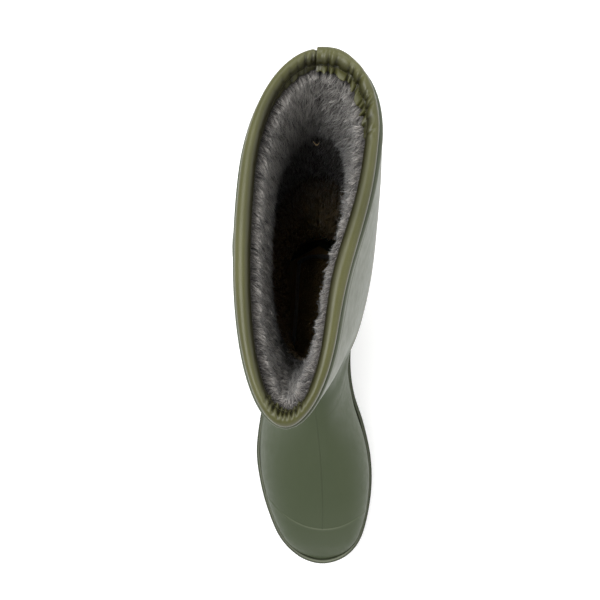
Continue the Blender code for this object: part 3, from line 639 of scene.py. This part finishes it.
def build_badge(rubber):
    """A blank oval boss with a raised rim on the lateral side of the leg."""
    low, high = (Vector(c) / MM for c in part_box("side_badge"))
    cy, cz = (low.y + high.y) / 2, (low.z + high.z) / 2
    ry, rz = (high.y - low.y) / 2, (high.z - low.z) / 2

    def surface(y, z):
        loop = ring(leg_place(z), 0, half=90)[90:]
        return np.interp(y, loop[::-1, 1], loop[::-1, 0])

    profile = ((1, -0.6), (1, 1.7), (0.97, 2.4), (0.92, 2.6), (0.87, 2.5), (0.83, 2.3), (0.78, 2.4),
               (0.6, 3), (0.4, 3.4), (0.2, 3.6))
    rows = []
    for share, lift in profile:
        ys, zs = cy + ry * share * np.cos(circle(72)), cz + rz * share * np.sin(circle(72))
        rows.append([(surface(y, z) - lift, y, z) for y, z in zip(ys, zs)])
    badge = closed_grid("side_badge_blank", rows, ends="caps")
    fit(badge, rubber, "foot_rubber", "leg", "side_badge")


# --- the sole ---


def band_rows(section, count=420):
    """Rings of a section, whose entries are an inset and a function from y to the height."""
    rows = []
    for inset, height in section:
        loop = outline_loop(inset, count)
        rows.append(np.column_stack([loop, height(loop[:, 1])]))
    return rows


def above(table, corners):
    """Entries of a section from corners, each an inset and a rise above a table's height."""
    return [(inset, lambda y, rise=rise: heights(table, y) + rise) for inset, rise in corners]


def build_foxing(band):
    """The band round the upper: rounded top, groove, plain wall, and a bead above the sole."""
    crown = (
        (5.4, -7), (4.7, -4), (4.1, -1.9), (3.5, -0.75), (2.9, -0.15), (2.2, 0), (1.5, -0.2),
        (1, -0.7), (0.75, -1.4), (0.7, -2.6), (0.85, -3.3), (1.25, -3.7), (1.25, -4.1), (0.85, -4.5),
        (0.7, -5.2),
    )
    bead = (
        (0.7, 5.4), (0.95, 4.8), (0.95, 4.4), (0.55, 3.9), (0.25, 3.1), (0.2, 2.2), (0.45, 1.3), (0.9, 0.7),
        (1.5, 0.5), (6, 0.5), (6.3, 4),
    )
    middle = [(0.7, lambda y: heights(SOLE_TOP, y) * 0.5 + heights(FOXING_TOP, y) * 0.5)]
    rows = band_rows(above(FOXING_TOP, crown) + middle + above(SOLE_TOP, bead))
    foxing = closed_grid("foxing_band", rows, ends="loop", smooth_deg=60)
    # Painted highlight along the crest of the band's rounded top
    crest = bell(np.arange(len(rows)) - 4, 1)
    paint(foxing, "painted_highlight", np.repeat(crest, len(rows[0])))
    fit(foxing, band, "band_rubber", BALL, "foxing_heelpart", "foxing_forepart")


def spine(loop):
    """The line down the middle of the sole that its faces run to."""
    ys = np.clip(loop[:, 1], TOE_TIP + 44, HEEL_BACK - 32)
    xs = np.interp(ys, [-230, -170, -110, -60, 0], [-1, -6, -9, -6, -1])
    return np.column_stack([xs, ys])


def sole_slab(count=300):
    """Rings of the outsole, from its spine over the top, down the edge and under to the spine."""
    upper = (0.9, 0), (0.3, -0.35), (0.05, -1), (0.05, -1.7), (0.5, -2.1), (0.5, -2.5), (0.05, -2.9)
    wall = [(0.05, lambda y: heights(SOLE_UNDER, y) * 0.7 + heights(SOLE_TOP, y) * 0.3)]
    lower = (0.15, 0.8), (0.6, 0.2), (1.3, 0)
    rows = band_rows(above(SOLE_TOP, upper) + wall + above(SOLE_UNDER, lower), count)
    edge_top, edge_low = rows[0], rows[-1]
    middle = spine(outline_loop(0, count))
    fill_top, fill_low = [], []
    for share in np.linspace(0.08, 1, 14):
        for fill, edge, table in ((fill_top, edge_top, SOLE_TOP), (fill_low, edge_low, SOLE_UNDER)):
            flat = edge[:, :2] * (1 - share) + middle * share
            fill.append(np.column_stack([flat, heights(table, flat[:, 1])]))
    return fill_top[::-1] + rows + fill_low


def lug(x, y, half_w, half_l, turn, top):
    """Corners of a lug: a small chamfer at the ground and a flared root."""
    turn = math.radians(turn)
    c, s = math.cos(turn), math.sin(turn)
    rings = []
    for z, grow in ((0, -0.6), (0.5, 0), (top * 0.75, 0.5), (top, 1)):
        w, length, bevel = half_w + grow, half_l + grow, 1.3
        corners = []
        for sx, sy in ((-1, -1), (1, -1), (1, 1), (-1, 1)):
            first, second = (sx * (w - bevel), sy * length), (sx * w, sy * (length - bevel))
            corners += [first, second] if sx * sy < 0 else [second, first]
        rings.append([(x + c * px - s * py, y + s * px + c * py, z) for px, py in corners])
    return rings


def tread_lugs():
    """Slanted bars at the ball and toe, and blocks round a pad at the heel."""
    lateral, medial = edges(6)
    lugs = []
    for y in (-118, -131.5, -145, -158.5, -180, -193.5, -207):
        left, right = lateral(y), medial(y)
        middle, half = (left + right) / 2, (right - left) / 4 - 3
        for side in (-1, 1):
            lugs.append((middle + side * (half + 3.2), y, half - 1.5, 3.6, side * 14, 6))
    lugs.append((0, 0, 9, 9, 0, 7.5))
    for k in range(7):
        angle = math.radians(-30 + 40 * k)
        x, y = 24.5 * math.cos(angle) - 1, 1 + 26 * math.sin(angle)
        lugs.append((x, y, 4.2, 5.2, math.degrees(angle), 7.5))
    lugs.append((-2, -33, 27, 3.2, 0, 7.5))
    return lugs


def build_outsole(tread):
    """The outsole with its tread, whose roots are sunk in the slab."""
    slab = closed_grid("outsole", sole_slab(), ends="loop", smooth_deg=35)
    points, faces = [], []
    for spec in tread_lugs():
        rings = lug(*spec)
        base, m = len(points), len(rings[0])
        points += [p for loop in rings for p in loop]
        faces += [tuple(base + i for i in f) for f in grid_faces(len(rings), m)]
        faces.append(tuple(base + j for j in reversed(range(m))))
        faces.append(tuple(base + (len(rings) - 1) * m + j for j in range(m)))
    treads = make_object("tread_lugs", points, faces)
    bm = bmesh.new()
    for mesh in (slab.data, treads.data):
        bm.from_mesh(mesh)
    bm.to_mesh(slab.data)
    bm.free()
    bpy.data.objects.remove(treads)
    slab.data.shade_smooth()
    slab.data.set_sharp_from_angle(angle=math.radians(35))
    fit(slab, tread, "tread_rubber", BALL, "outsole_heelpart", "outsole_forepart")


# --- the collar ---

ROLL_DEPTH, ROLL_HEIGHT, ROLL_RADIUS = 5, 348.8, 3.8
STRIP, CORD_RADIUS = 0.9, 1.5  # thickness of the binding strip, and the cord inside it
LEAD, LAP = 2.4, 9  # how far the strip starts past the middle of the back, and ends under its start
FINE, COARSE = 0.55, 1.6  # spacing of the strip's rows where it is gathered, and elsewhere
BACK_PITCH, TIP_PITCH = 5.6, 2.7  # spacing of the pleats at the back and at the front
TUCKS = (2, 5.6)  # creases across the roll, this far before it runs under the lap
SIM_SCALE = 20  # the cloth is simulated this much larger, where the solver's stiffnesses suit it
SIM_FRAMES, SIM_REACH = 18, 1.6  # frames simulated, and the farthest a point may move
SIM_SETTINGS = dict(
    quality=6, mass=0.4, tension_stiffness=25, compression_stiffness=25, shear_stiffness=8,
    bending_stiffness=0.8, air_damping=3, pin_stiffness=40, shrink_min=0, shrink_max=-0.28,
    use_pressure=True, uniform_pressure_force=2,
)


def collar_path():
    """The roll's centre line from the back, as a function of distance, its length and its front."""
    half = 200
    order = (half - np.arange(2 * half + 1)) % (2 * half)
    centre = collar_ring(ROLL_HEIGHT, ROLL_DEPTH, half)[order]
    away = unit(collar_ring(ROLL_HEIGHT, ROLL_DEPTH - 4, half)[order] - centre)
    gone = distances(centre)

    def at(distance):
        place = distance % gone[-1]
        return pick(place, gone, centre), unit(pick(place, gone, away))

    return at, gone[-1], gone[half]


def wander(values, seed):
    """A smooth random walk between about -1 and 1 along a line of values."""
    return np.array([noise.noise(Vector((v, seed, 0.3 * seed))) * 1.8 for v in values])


def bump_of(x, middle, reach):
    """1 near the middle, falling to 0 beyond reach."""
    return np.exp(-(np.abs((x - middle) / reach) ** 4))


def strip_rows(length, front):
    """Places of the strip's rows along the collar."""
    places = [0]
    while places[-1] < length + LAP:
        s = places[-1]
        gathered = s < 58 or s > length - 30 or abs(s - front) < 17
        places.append(s + (FINE if gathered else COARSE))
    return np.array(places)


def binding_grid(pleats):
    """The strip's points, its rows' places, how gathered they are, its painted shade, and the roll's columns.

    pleats scales the creases that the stitches pull into it.
    """
    at, length, front = collar_path()
    front += LEAD
    s = strip_rows(length, front)
    centre, side = at(s - LEAD)
    back_medial = bump_of(s, 25, 29)
    back_lateral = bump_of(s, length - 13, 14) * 0.6
    tip = bump_of(s, front + 1.5, 11)
    gather = np.clip(back_medial * 0.85 + back_lateral + tip, 0, 1)
    pitch = BACK_PITCH + (TIP_PITCH - BACK_PITCH) * bump_of(s, front, 20)
    phase = np.append(0, np.cumsum(np.diff(s) / pitch[1:])) + 0.4 * wander(s * 0.17, 2)
    crease = pleats * (1 - np.abs(np.sin(math.pi * phase)) ** 0.8) ** (1.5 - 0.5 * tip)
    tab = 1 + 0.35 * wander(np.floor(phase) * 0.73, 4)
    wide_fold = np.sin(2 * math.pi * s / 9.5 + 3 * wander(s * 0.1, 5))
    tuck = pleats * sum(bell(s - length + gap, 0.6) for gap in TUCKS)
    under = ease(s, length - 2, length + 0.5)
    over = 1 - ease(s, 9, 22)
    size = ROLL_RADIUS * (1 - 0.26 * under + 0.17 * over + 0.03 * wander(s * 0.05, 9))

    angles = np.radians(np.linspace(-48, 222, 20))
    tail_out = [(2, -6.8), (2.1, -5.6), (2.2, -4.4)]
    tail_in = [(-3.2, -3.7), (-3.45, -4.8), (-3.6, -5.8), (-3.7, -6.7)]
    first, last = len(tail_out), len(tail_out) + len(angles)
    grid = np.empty((len(s), last + len(tail_in), 3))
    painted_shade = np.zeros(grid.shape[:2])
    up = np.array([0, 0, 1])

    def place(column, out, rise):
        grid[:, column] = centre + side * np.asarray(out)[:, None] + up[None] * np.asarray(rise)[:, None]

    ones = np.ones(len(s))
    for j, (out, rise) in enumerate(tail_out):
        place(j, out * ones, rise * ones)
    for j, angle in enumerate(angles, first):
        degrees = math.degrees(angle)
        inner = ease(degrees, 62, 140)
        pulled = crease * (2 * tip + 0.75 * back_lateral + 0.85 * back_medial) * inner
        pulled += 0.9 * tuck * ease(degrees, 30, 100)
        wall = size - pulled + wide_fold * back_medial * 0.5 * ease(degrees, 10, 90)
        squeeze = 1 + 0.12 * over * max(math.cos(angle), 0)
        place(j, wall * math.cos(angle) * squeeze, wall * math.sin(angle) * (1 - 0.16 * over))
        # Painted shade: darker on the roll's inner side toward the plush, along its foot by the rubber, and
        # in pulled creases
        painted_shade[:, j] = ease(degrees, 80, 160) * (1 - 0.45 * gather)
        painted_shade[:, j] += 0.55 * (1 - ease(degrees, -15, 42))
        painted_shade[:, j] += np.minimum(pulled, 1) * 0.75
    flare = np.clip(0.95 * back_medial + 0.6 * back_lateral + 0.75 * tip, 0, 1)
    even = 0.55 * (1 - tip)  # how little the ruffle's edge is notched
    flare = flare * np.clip((1.15 - crease * (1 - even)) * tab + 0.15 * wide_fold, 0.05, 1.3)
    for j, (out, rise) in enumerate(tail_in):
        reach = (1.25 - 0.55 * tip) * (j + 1) * (1 + 0.15 * wide_fold)
        lift = 0.5 * (0.5 - crease) * (j + 1) * 0.5 - 0.15 * j
        out_now = out * (1 - flare) + (-2.9 - reach) * flare
        place(last + j, out_now, rise * (1 - flare) + (-2.4 + lift) * flare)
        # Painted shade on the turned-in edge, lighter where it flares out, darker in gathered creases
        painted_shade[:, last + j] = 1 - 0.9 * np.minimum(flare, 1) + 0.6 * crease * gather
    # Painted shade where the strip's end runs under the lap, and at its start
    painted_shade += (bell(s - length + 0.1, 0.6) * 0.9 + bell(s, 0.35) * 0.3)[:, None]
    return grid, s, gather, np.clip(painted_shade, 0, 1), first, last


def slacken(grid, gather, first, last):
    """Simulates the strip as cloth, sewn at both edges, blown up, and longer where gathered."""
    rows, cols = grid.shape[:2]
    faces = grid_faces(rows, cols, wrap_cols=False)
    sheet = make_object("strip_sheet", grid.reshape(-1, 3) * SIM_SCALE, faces)
    held = np.zeros((rows, cols))
    held[:, : first + 1] = 1
    held[:, last] = 1
    held[:, last:] = np.maximum(held[:, last:], (1 - gather)[:, None])
    held[:3], held[-3:] = 1, 1
    slack = np.repeat(gather[:, None], cols, axis=1)
    slack[:, : first + 5] *= 0.2
    for name, values in (("held", held), ("slack", slack)):
        group = sheet.vertex_groups.new(name=name)
        for index, value in enumerate(values.ravel()):
            if value > 0.01:
                group.add([index], float(value), "REPLACE")
    cloth = sheet.modifiers.new("cloth", "CLOTH")
    for key, value in SIM_SETTINGS.items():
        setattr(cloth.settings, key, value)
    cloth.settings.vertex_group_mass, cloth.settings.vertex_group_shrink = "held", "slack"
    cloth.settings.effector_weights.gravity = 0
    cloth.collision_settings.use_collision = False
    cloth.point_cache.frame_start, cloth.point_cache.frame_end = 1, SIM_FRAMES
    scene = bpy.context.scene
    for number in range(1, SIM_FRAMES + 1):
        scene.frame_set(number)
    evaluated = sheet.evaluated_get(bpy.context.evaluated_depsgraph_get())
    moved = np.empty(rows * cols * 3)
    evaluated.data.vertices.foreach_get("co", moved)
    moved = moved.reshape(grid.shape) / MM / SIM_SCALE - grid
    scene.frame_set(1)
    bpy.data.objects.remove(sheet)
    far = np.linalg.norm(moved, axis=2)[:, :, None]
    return grid + moved * np.minimum(1, SIM_REACH / np.maximum(far, 1e-9))


def build_binding(leatherette, thread, felt):
    """The padded roll: a strip over a cord, gathered at the back and front, lapped at the back."""
    plain, s, gather, _, first, last = binding_grid(0)
    pleated, _, _, painted_shade, _, _ = binding_grid(1)
    grid = slacken(plain, gather, first, last) + pleated - plain
    normal = unit(np.cross(np.gradient(grid, axis=0), np.gradient(grid, axis=1)))
    middle = grid[:, (first + last) // 2] - collar_path()[0](s - LEAD)[0]
    normal *= np.sign((normal[:, (first + last) // 2] * middle).sum())
    under = grid - normal * STRIP
    binding = sheet_solid("collar_roll", grid, under, smooth_deg=70)
    # Painted shade for the roll's material
    paint(binding, "painted_shade", np.concatenate([painted_shade, painted_shade[:, ::-1]], axis=1))
    modifier = binding.modifiers.new("smooth", "SUBSURF")
    modifier.levels = modifier.render_levels = 1
    finer = binding.evaluated_get(bpy.context.evaluated_depsgraph_get())
    binding.data = bpy.data.meshes.new_from_object(finer)
    binding.modifiers.clear()
    fit(binding, leatherette, "binding_leatherette", "leg", "collar_binding")

    at, length, _ = collar_path()
    centre, side = at(np.linspace(0, length, 200, endpoint=False))
    core = [centre + (side * math.cos(a) + np.array([0, 0, math.sin(a)])) * CORD_RADIUS
            for a in circle(10)]
    cord = closed_grid("collar_cord_core", core, ends="loop")
    fit(cord, felt, "filler_cord", "leg", "collar_cord")

    points, faces = [], []
    seam, away = grid[:, last], normal[:, last]
    for k in range(4, len(s) - 8, 3):
        start, stop = seam[k], seam[k + 2]
        out = away[k + 1]
        cross = np.cross(unit(stop - start), out)
        base = len(points)
        for share, lift in ((0, -0.15), (0.15, 0.16), (0.5, 0.26), (0.85, 0.16), (1, -0.15)):
            middle = start + (stop - start) * share + out * lift
            points += [middle + (out * math.cos(a) + cross * math.sin(a)) * 0.22 for a in circle(6)]
        faces += [tuple(base + i for i in f) for f in grid_faces(5, 6)]
        faces += [tuple(base + i for i in range(6)), tuple(base + 24 + i for i in range(6))]
    stitches = make_object("collar_stitches", points, faces)
    fit(stitches, thread, "thread", "leg", "collar_stitching")


# --- the plush ---


def cloth_ring(t, extra=0, half=HALF):
    """A ring of the plush's base cloth."""
    leg, foot = CLOTH_DEPTH
    depth = leg + (foot - leg) * float(ease(t, 2, 6))
    return ring(t, depth + extra, floor=2.2 * float(ease(t, 6, 9)), half=half)


def build_lining(cloth):
    """The plush's base cloth: a wall down the leg into the heel, and a sock over the forefoot."""
    top = leg_place(TOP - 0.4)
    ts = np.concatenate([np.arange(top, 5, 0.08), np.arange(5, 11, 0.2)])
    inner = [cloth_ring(t) for t in ts]
    outer = [cloth_ring(t, -1.9) for t in ts]
    for k, extra in ((0, 0.5), (1, 0.15)):
        inner[k] = cloth_ring(ts[k], -extra)
    lining = closed_grid("plush_cloth_leg", outer + inner[::-1], ends="loop")
    fit(lining, cloth, "plush", ANKLE, "leg_lining", "heel_lining")

    ts = np.concatenate([np.arange(10.7, 17.6, 0.15), [17.7]])
    inner = [cloth_ring(t) for t in ts]
    outer = [cloth_ring(t, -1.7) for t in ts]
    toe = [outer[-1] * (1 - k) + outer[-1].mean(0) * k + np.array([0, -1.2 * k, 0]) for k in (0.3, 0.7)]
    sock = closed_grid("plush_cloth_toe", toe[::-1] + outer[::-1] + inner, ends="caps")
    fit(sock, cloth, "plush", BALL, "forefoot_lining")


FOOTBED_DEPTH, FOOTBED_FLOOR, FOOTBED_SPAN = 10.6, 2.2, 0.88
FOOTBED_ENDS = (9.25, 17)  # the rings at its heel and its toe
FOOTBED_PARTING = 14.45  # behind this ring it rides the footbed's body, so it lifts with it; before it, it is baked in place
FOAM, PLUSH = 3.6, 3.6  # thickness of its layers


def bed_row(t, depth, us):
    """Points of the sole side of a ring: u is -1 at the lateral edge and 1 at the medial."""
    row = catmull(ROWS, t)
    length = np.linalg.norm(row[2:4] - row[0:2])
    points = []
    for u, deep in zip(us, depth):
        medial = u > 0
        wide, width = (row[9], row[7]) if medial else (row[8], row[6])
        out = abs(u) * FOOTBED_SPAN
        reach = 1 - (deep + FOOTBED_FLOOR) / length - wide
        share = wide + reach * (1 - out ** row[11]) ** (1 / row[11])
        points.append(side_points(row, np.array([share]), (width - deep) * out, medial)[0])
    return points


def build_footbed(cloth, pile, foam):
    """The loose footbed: foam under plush, furred at the heel."""
    us = np.sin(np.linspace(-math.pi / 2, math.pi / 2, 33))
    crown = 1 - np.abs(us) ** 8
    halves = (
        ("heel", (FOOTBED_ENDS[0], FOOTBED_PARTING - 0.02), "heelpart", "footbed"),
        ("toe", (FOOTBED_PARTING + 0.02, FOOTBED_ENDS[1]), "forepart", BALL),
    )
    for part, span, cad, place in halves:
        ts = np.linspace(*span, int((span[1] - span[0]) / 0.12))
        ends = [min(t - FOOTBED_ENDS[0], FOOTBED_ENDS[1] - t, 0.48) / 0.48 for t in ts]
        levels = {}
        for level, depth, swell in (("sole", 0, 0), ("foam", FOAM, 0), ("base", FOAM + 0.3, 0),
                                    ("top", FOAM + 0.3, PLUSH)):
            levels[level] = np.array([
                bed_row(t, FOOTBED_DEPTH + depth + swell * (0.12 + 0.88 * crown * (0.35 + 0.65 * end)), us)
                for t, end in zip(ts, ends)])
        for layer, high, low, material in (("foam", "foam", "sole", foam), ("plush", "top", "base", cloth)):
            obj = sheet_solid(f"footbed_{layer}_{part}", levels[high], levels[low], smooth_deg=60)
            slot, node = ("plush", "cover") if layer == "plush" else ("footbed_foam", "foam")
            fit(obj, material, slot, place, f"footbed_{node}_{cad}")
        if part == "heel":
            fur = fibres_on("footbed_pile", levels["top"][:, 3:-3], 5200, 3.6, 0.7, 31, lean=0.9)
            fit(fur, pile, "plush", place)


def wave(x, y, seed):
    """A smooth field of two coordinates, between about -1 and 1."""
    total = 0
    for k, (fx, fy, p) in enumerate(((1, 0.6, 0.3), (-0.7, 1.3, 1.9), (1.7, -1.1, 4.1), (2.3, 2.1, 5.7))):
        total = total + np.sin(fx * x + fy * y + p + seed * (k + 1.3)) / (1 + 0.35 * k)
    return total / 2.6


def fibres_on(name, grid, count, length, width, seed, lean=1, upright=1, seam=None, columns=None):
    """Tapered locks of fibre that stand on a grid of points, curl over and lie in clumps.

    The grid's rows run down the boot. Fibres grow on a stretch of its columns, parted at the seam's column.
    """
    rng = np.random.default_rng(seed)
    count = int(count * (1))
    rows, cols = grid.shape[:2]
    low, high = columns or (0, cols - 1)
    down = unit(np.gradient(grid, axis=0))
    around = unit(np.gradient(grid, axis=1))
    inward = unit(np.cross(down, around))
    toward = grid.mean(axis=1)[:, None] - grid if seam is not None else np.array([[[0, 0, 1]]])
    inward = inward * np.sign((inward * toward).sum(2))[:, :, None]
    u = rng.random(count) * (rows - 1.001)
    v = low + rng.random(count) * (high - low - 0.001)
    i, j = u.astype(int), v.astype(int)
    fu, fv = (u - i)[:, None], (v - j)[:, None]

    def sample(field):
        return ((field[i, j] * (1 - fu) + field[i + 1, j] * fu) * (1 - fv)
                + (field[i, j + 1] * (1 - fu) + field[i + 1, j + 1] * fu) * fv)

    root, normal, fall, across = sample(grid), sample(inward), sample(down), sample(around)
    pitch = np.linalg.norm(np.diff(grid[0], axis=0), axis=1).mean()
    run, drop = v * pitch, TOP - root[:, 2]
    clump_a = wave(run * 0.5, drop * 0.55, 0.7) + 0.7 * wave(run * 1.5, drop * 1.6, 2.9)
    clump_b = wave(run * 0.45, drop * 0.6, 4.4) + 0.7 * wave(run * 1.4, drop * 1.7, 8.1)
    broad = wave(run * 0.11, drop * 0.14, 1.2)
    near = bell((v - seam) * pitch, 0.8) if seam is not None else np.zeros(count)
    turn = np.sign(v - seam) if seam is not None else np.zeros(count)

    def mixed(stand, drape, sway, ahead):
        direction = normal * (stand * upright * (1 + 0.25 * clump_b + rng.normal(0, 0.16, count)))[:, None]
        direction += fall * (drape * lean * (1 + 0.45 * broad + 0.45 * clump_b))[:, None]
        direction += across * (sway * clump_a + rng.normal(0, 0.18, count) + turn * near * 0.7)[:, None]
        direction[:, 1] -= ahead * sideways
        return unit(direction)

    sideways = np.abs(normal[:, 0]) * (1 if seam is not None else 0.2)
    grown = 0.62 + 0.38 * ease(drop, 4, 28) if seam is not None else 1
    size = length * (0.42 + 0.58 * rng.random(count) ** 0.8) * (1 + 0.2 * clump_a) * (1 - 0.45 * near) * grown
    one = root + mixed(1, 0.15, 0.2, 0.08) * (size * 0.34)[:, None]
    two = one + mixed(0.9, 0.4, 0.5, 0.45) * (size * 0.34)[:, None]
    tip = two + mixed(0.6, 0.65, 0.8, 0.7) * (size * 0.32)[:, None]
    spin = rng.random(count) * 2 * math.pi
    points = np.empty((count, 10, 3))
    stages = (root - normal * 0.4, normal, 0.42), (one, one - root, 0.5), (two, two - one, 0.36)
    for level, (place, ahead, wide) in enumerate(stages):
        side = unit(np.cross(unit(ahead), across))
        other = np.cross(unit(ahead), side)
        for k in range(3):
            a = spin + k * 2 * math.pi / 3
            rim = side * np.cos(a)[:, None] + other * np.sin(a)[:, None]
            points[:, 3 * level + k] = place + rim * width * wide
    points[:, 9] = tip
    quads = np.array([(0, 1, 4, 3), (1, 2, 5, 4), (2, 0, 3, 5), (3, 4, 7, 6), (4, 5, 8, 7), (5, 3, 6, 8)])
    tris = np.array([(6, 7, 9), (7, 8, 9), (8, 6, 9), (2, 1, 0)])
    offset = (np.arange(count) * 10)[:, None, None]
    faces = (quads + offset).reshape(-1, 4).tolist() + (tris + offset).reshape(-1, 3).tolist()
    obj = put(mesh_of(name, points.reshape(-1, 3), faces))
    obj.data.shade_smooth()
    along = np.tile([0, 0, 0, 0.34, 0.34, 0.34, 0.68, 0.68, 0.68, 1], count)
    shade = 0.58 + 0.42 * clump_a + 0.25 * broad + rng.normal(0, 0.34, count)
    # Painted shade: locks lower in the boot are darker, and so are those in the parting at the back seam
    shade -= 0.25 * ease(drop, 8, 40)
    shade = np.clip(shade, 0.03, 1) * (1 - 0.8 * near)
    paint(obj, "along", along)
    paint(obj, "shade", np.repeat(shade, 10))
    return obj


def build_pile(pile):
    """The pile, dense near the collar and thinner deep in the boot."""
    half = 110
    zones = (
        ("collar", (leg_place(TOP - 1.2), leg_place(297)), 6, 12000, 15.5, 0.5, 0.9, 1),
        ("leg", (leg_place(299), leg_place(238)), 3, 10000, 12.5, 0.62, 1.2, 0.9),
        ("ankle", (leg_place(241), 6.2), 1, 12000, 8.5, 0.9, 1.3, 0.8),
    )
    for zone, (first, last), sectors, count, length, width, lean, upright in zones:
        grid = np.array([cloth_ring(t, half=half) for t in np.linspace(first, last, 90)])
        grid = np.concatenate([grid, grid[:, :1]], axis=1)
        limits = np.linspace(0, 2 * half, sectors + 1)
        for k, (low, high) in enumerate(zip(limits, limits[1:])):
            seed = 11 + 7 * k + int(length)
            name = f"plush_pile_{zone}_{k + 1}"
            fur = fibres_on(name, grid, count, length, width, seed, lean, upright, half, (low, high))
            fit(fur, pile, "plush", ANKLE if zone == "ankle" else "leg")


def build_thread_tail(thread):
    """The loose end of the seam's thread, on the inner face of the back."""
    z = 284
    wall = collar_ring(z, CLOTH_DEPTH[0] + 7)[HALF]
    rows = []
    for k in range(12):
        u = k / 11
        a = 2.6 * u
        rise = 1.2 * math.cos(a * 1.6) + 2.2 * u * u
        middle = wall + np.array([-2.8 + 3.6 * u, -2.5 - 1.6 * math.sin(a), rise])
        rows.append([middle + 0.42 * np.array([0.2 * math.cos(b), math.sin(b), math.cos(b)])
                     for b in circle(8)])
    tail = closed_grid("seam_thread_tail", rows, ends="caps")
    fit(tail, thread, "thread", "leg")


# --- pieces kept from the CAD ---


def dress_cad(materials):
    """Gives each CAD node that stays its procedural material."""
    for name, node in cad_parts.items():
        for material in (made for key, made in materials.items() if key in name):
            for place in node.material_slots:
                place.link = "OBJECT"
                place.material = material


# --- stage ---

HORIZON_LIGHT, ZENITH_LIGHT, FLOOR_GLOW = 0.95, 0.35, 0.35
LAMPS = (  # name, place, size, power in watts
    ("key", (-0.45, 0, 1.4), (0.8, 0.8), 14),
    ("fill", (0.95, 0.2, 1), (0.9, 0.9), 3),
    ("back", (0.15, 0.95, 1.4), (1, 0.6), 9),
    ("front", (0.1, -1.3, 0.5), (1.2, 0.6), 2),
)


def build_stage():
    """A white floor, a pale surround that is brightest low down, soft lamps and the camera."""
    bpy.ops.mesh.primitive_plane_add(size=8, location=(0, 0, -0.0003))
    floor = bpy.context.object
    floor.name = "studio_floor"
    m = Shader("studio_floor")
    white = m.blotch(m.noise(3), (0.9, 0.9, 0.9), (0.92, 0.92, 0.92), (0.4, 0.6))
    m.set(Base_Color=white, Roughness=0.9, Specular_IOR_Level=0.1, Emission_Color=(1, 1, 1, 1),
          Emission_Strength=FLOOR_GLOW)
    floor.data.materials.append(m.made)

    sky = Shader("studio", world=True)
    fade = sky.span(sky.axis("Z"), 0.15, 0.95, HORIZON_LIGHT, ZENITH_LIGHT)
    sky.set(Color=(1, 0.995, 0.985, 1), Strength=fade)
    bpy.context.scene.world = sky.made

    for name, place, size, power in LAMPS:
        light = bpy.data.lights.new(name, "AREA")
        light.shape = "RECTANGLE"
        light.size, light.size_y = size
        light.energy = power
        obj = put(bpy.data.objects.new(name, light))
        obj.location = place
        aim = Vector((0, -0.05, 0.2)) - Vector(place)
        obj.rotation_euler = aim.to_track_quat("-Z", "Y").to_euler()

    camera = bpy.data.cameras.new("camera")
    camera.sensor_width = 36
    camera.lens = 44.4
    obj = put(bpy.data.objects.new("camera", camera))
    eye, look = Vector((0.004, -0.1235, 0.7)), Vector((-0.0196, -0.0195, 0))
    forward = (look - eye).normalized()
    right = forward.cross(Vector((0, 1, 0))).normalized()
    obj.matrix_world = Matrix((*zip(right, right.cross(forward), -forward, eye), (0, 0, 0, 1)))
    bpy.context.scene.camera = obj
    bpy.context.scene.view_settings.view_transform = "Standard"


def main():
    rubber = rubber_material()
    cloth = pile_cloth_material()
    pile = pile_material()
    foam = felt_material("foam", (0.33, 0.31, 0.27), (0.45, 0.43, 0.38), 500)
    sewing = thread_material("collar_thread", (0.05, 0.05, 0.02), (0.09, 0.085, 0.04))
    build_binding(binding_material(), sewing, foam)
    build_skins(rubber)
    build_toe_cap(rubber)
    build_heel_guard(rubber)
    build_badge(rubber)
    build_foxing(band_material())
    build_outsole(tread_material())
    build_lining(cloth)
    build_footbed(cloth, pile, foam)
    build_pile(pile)
    build_thread_tail(thread_material("tan_thread", (0.62, 0.46, 0.26), (0.8, 0.66, 0.44)))
    board = felt_material("fibre_board", (0.24, 0.18, 0.11), (0.34, 0.27, 0.17), 350)
    gel = felt_material("cushion_gel", (0.32, 0.25, 0.1), (0.42, 0.34, 0.16), 120)
    dress_cad({
        "midsole": foam, "insole_board": board, "heel_counter": board, "toe_puff": board,
        "heel_cushion": gel, "steel_shank": steel_material(),
    })
    build_stage()


main()
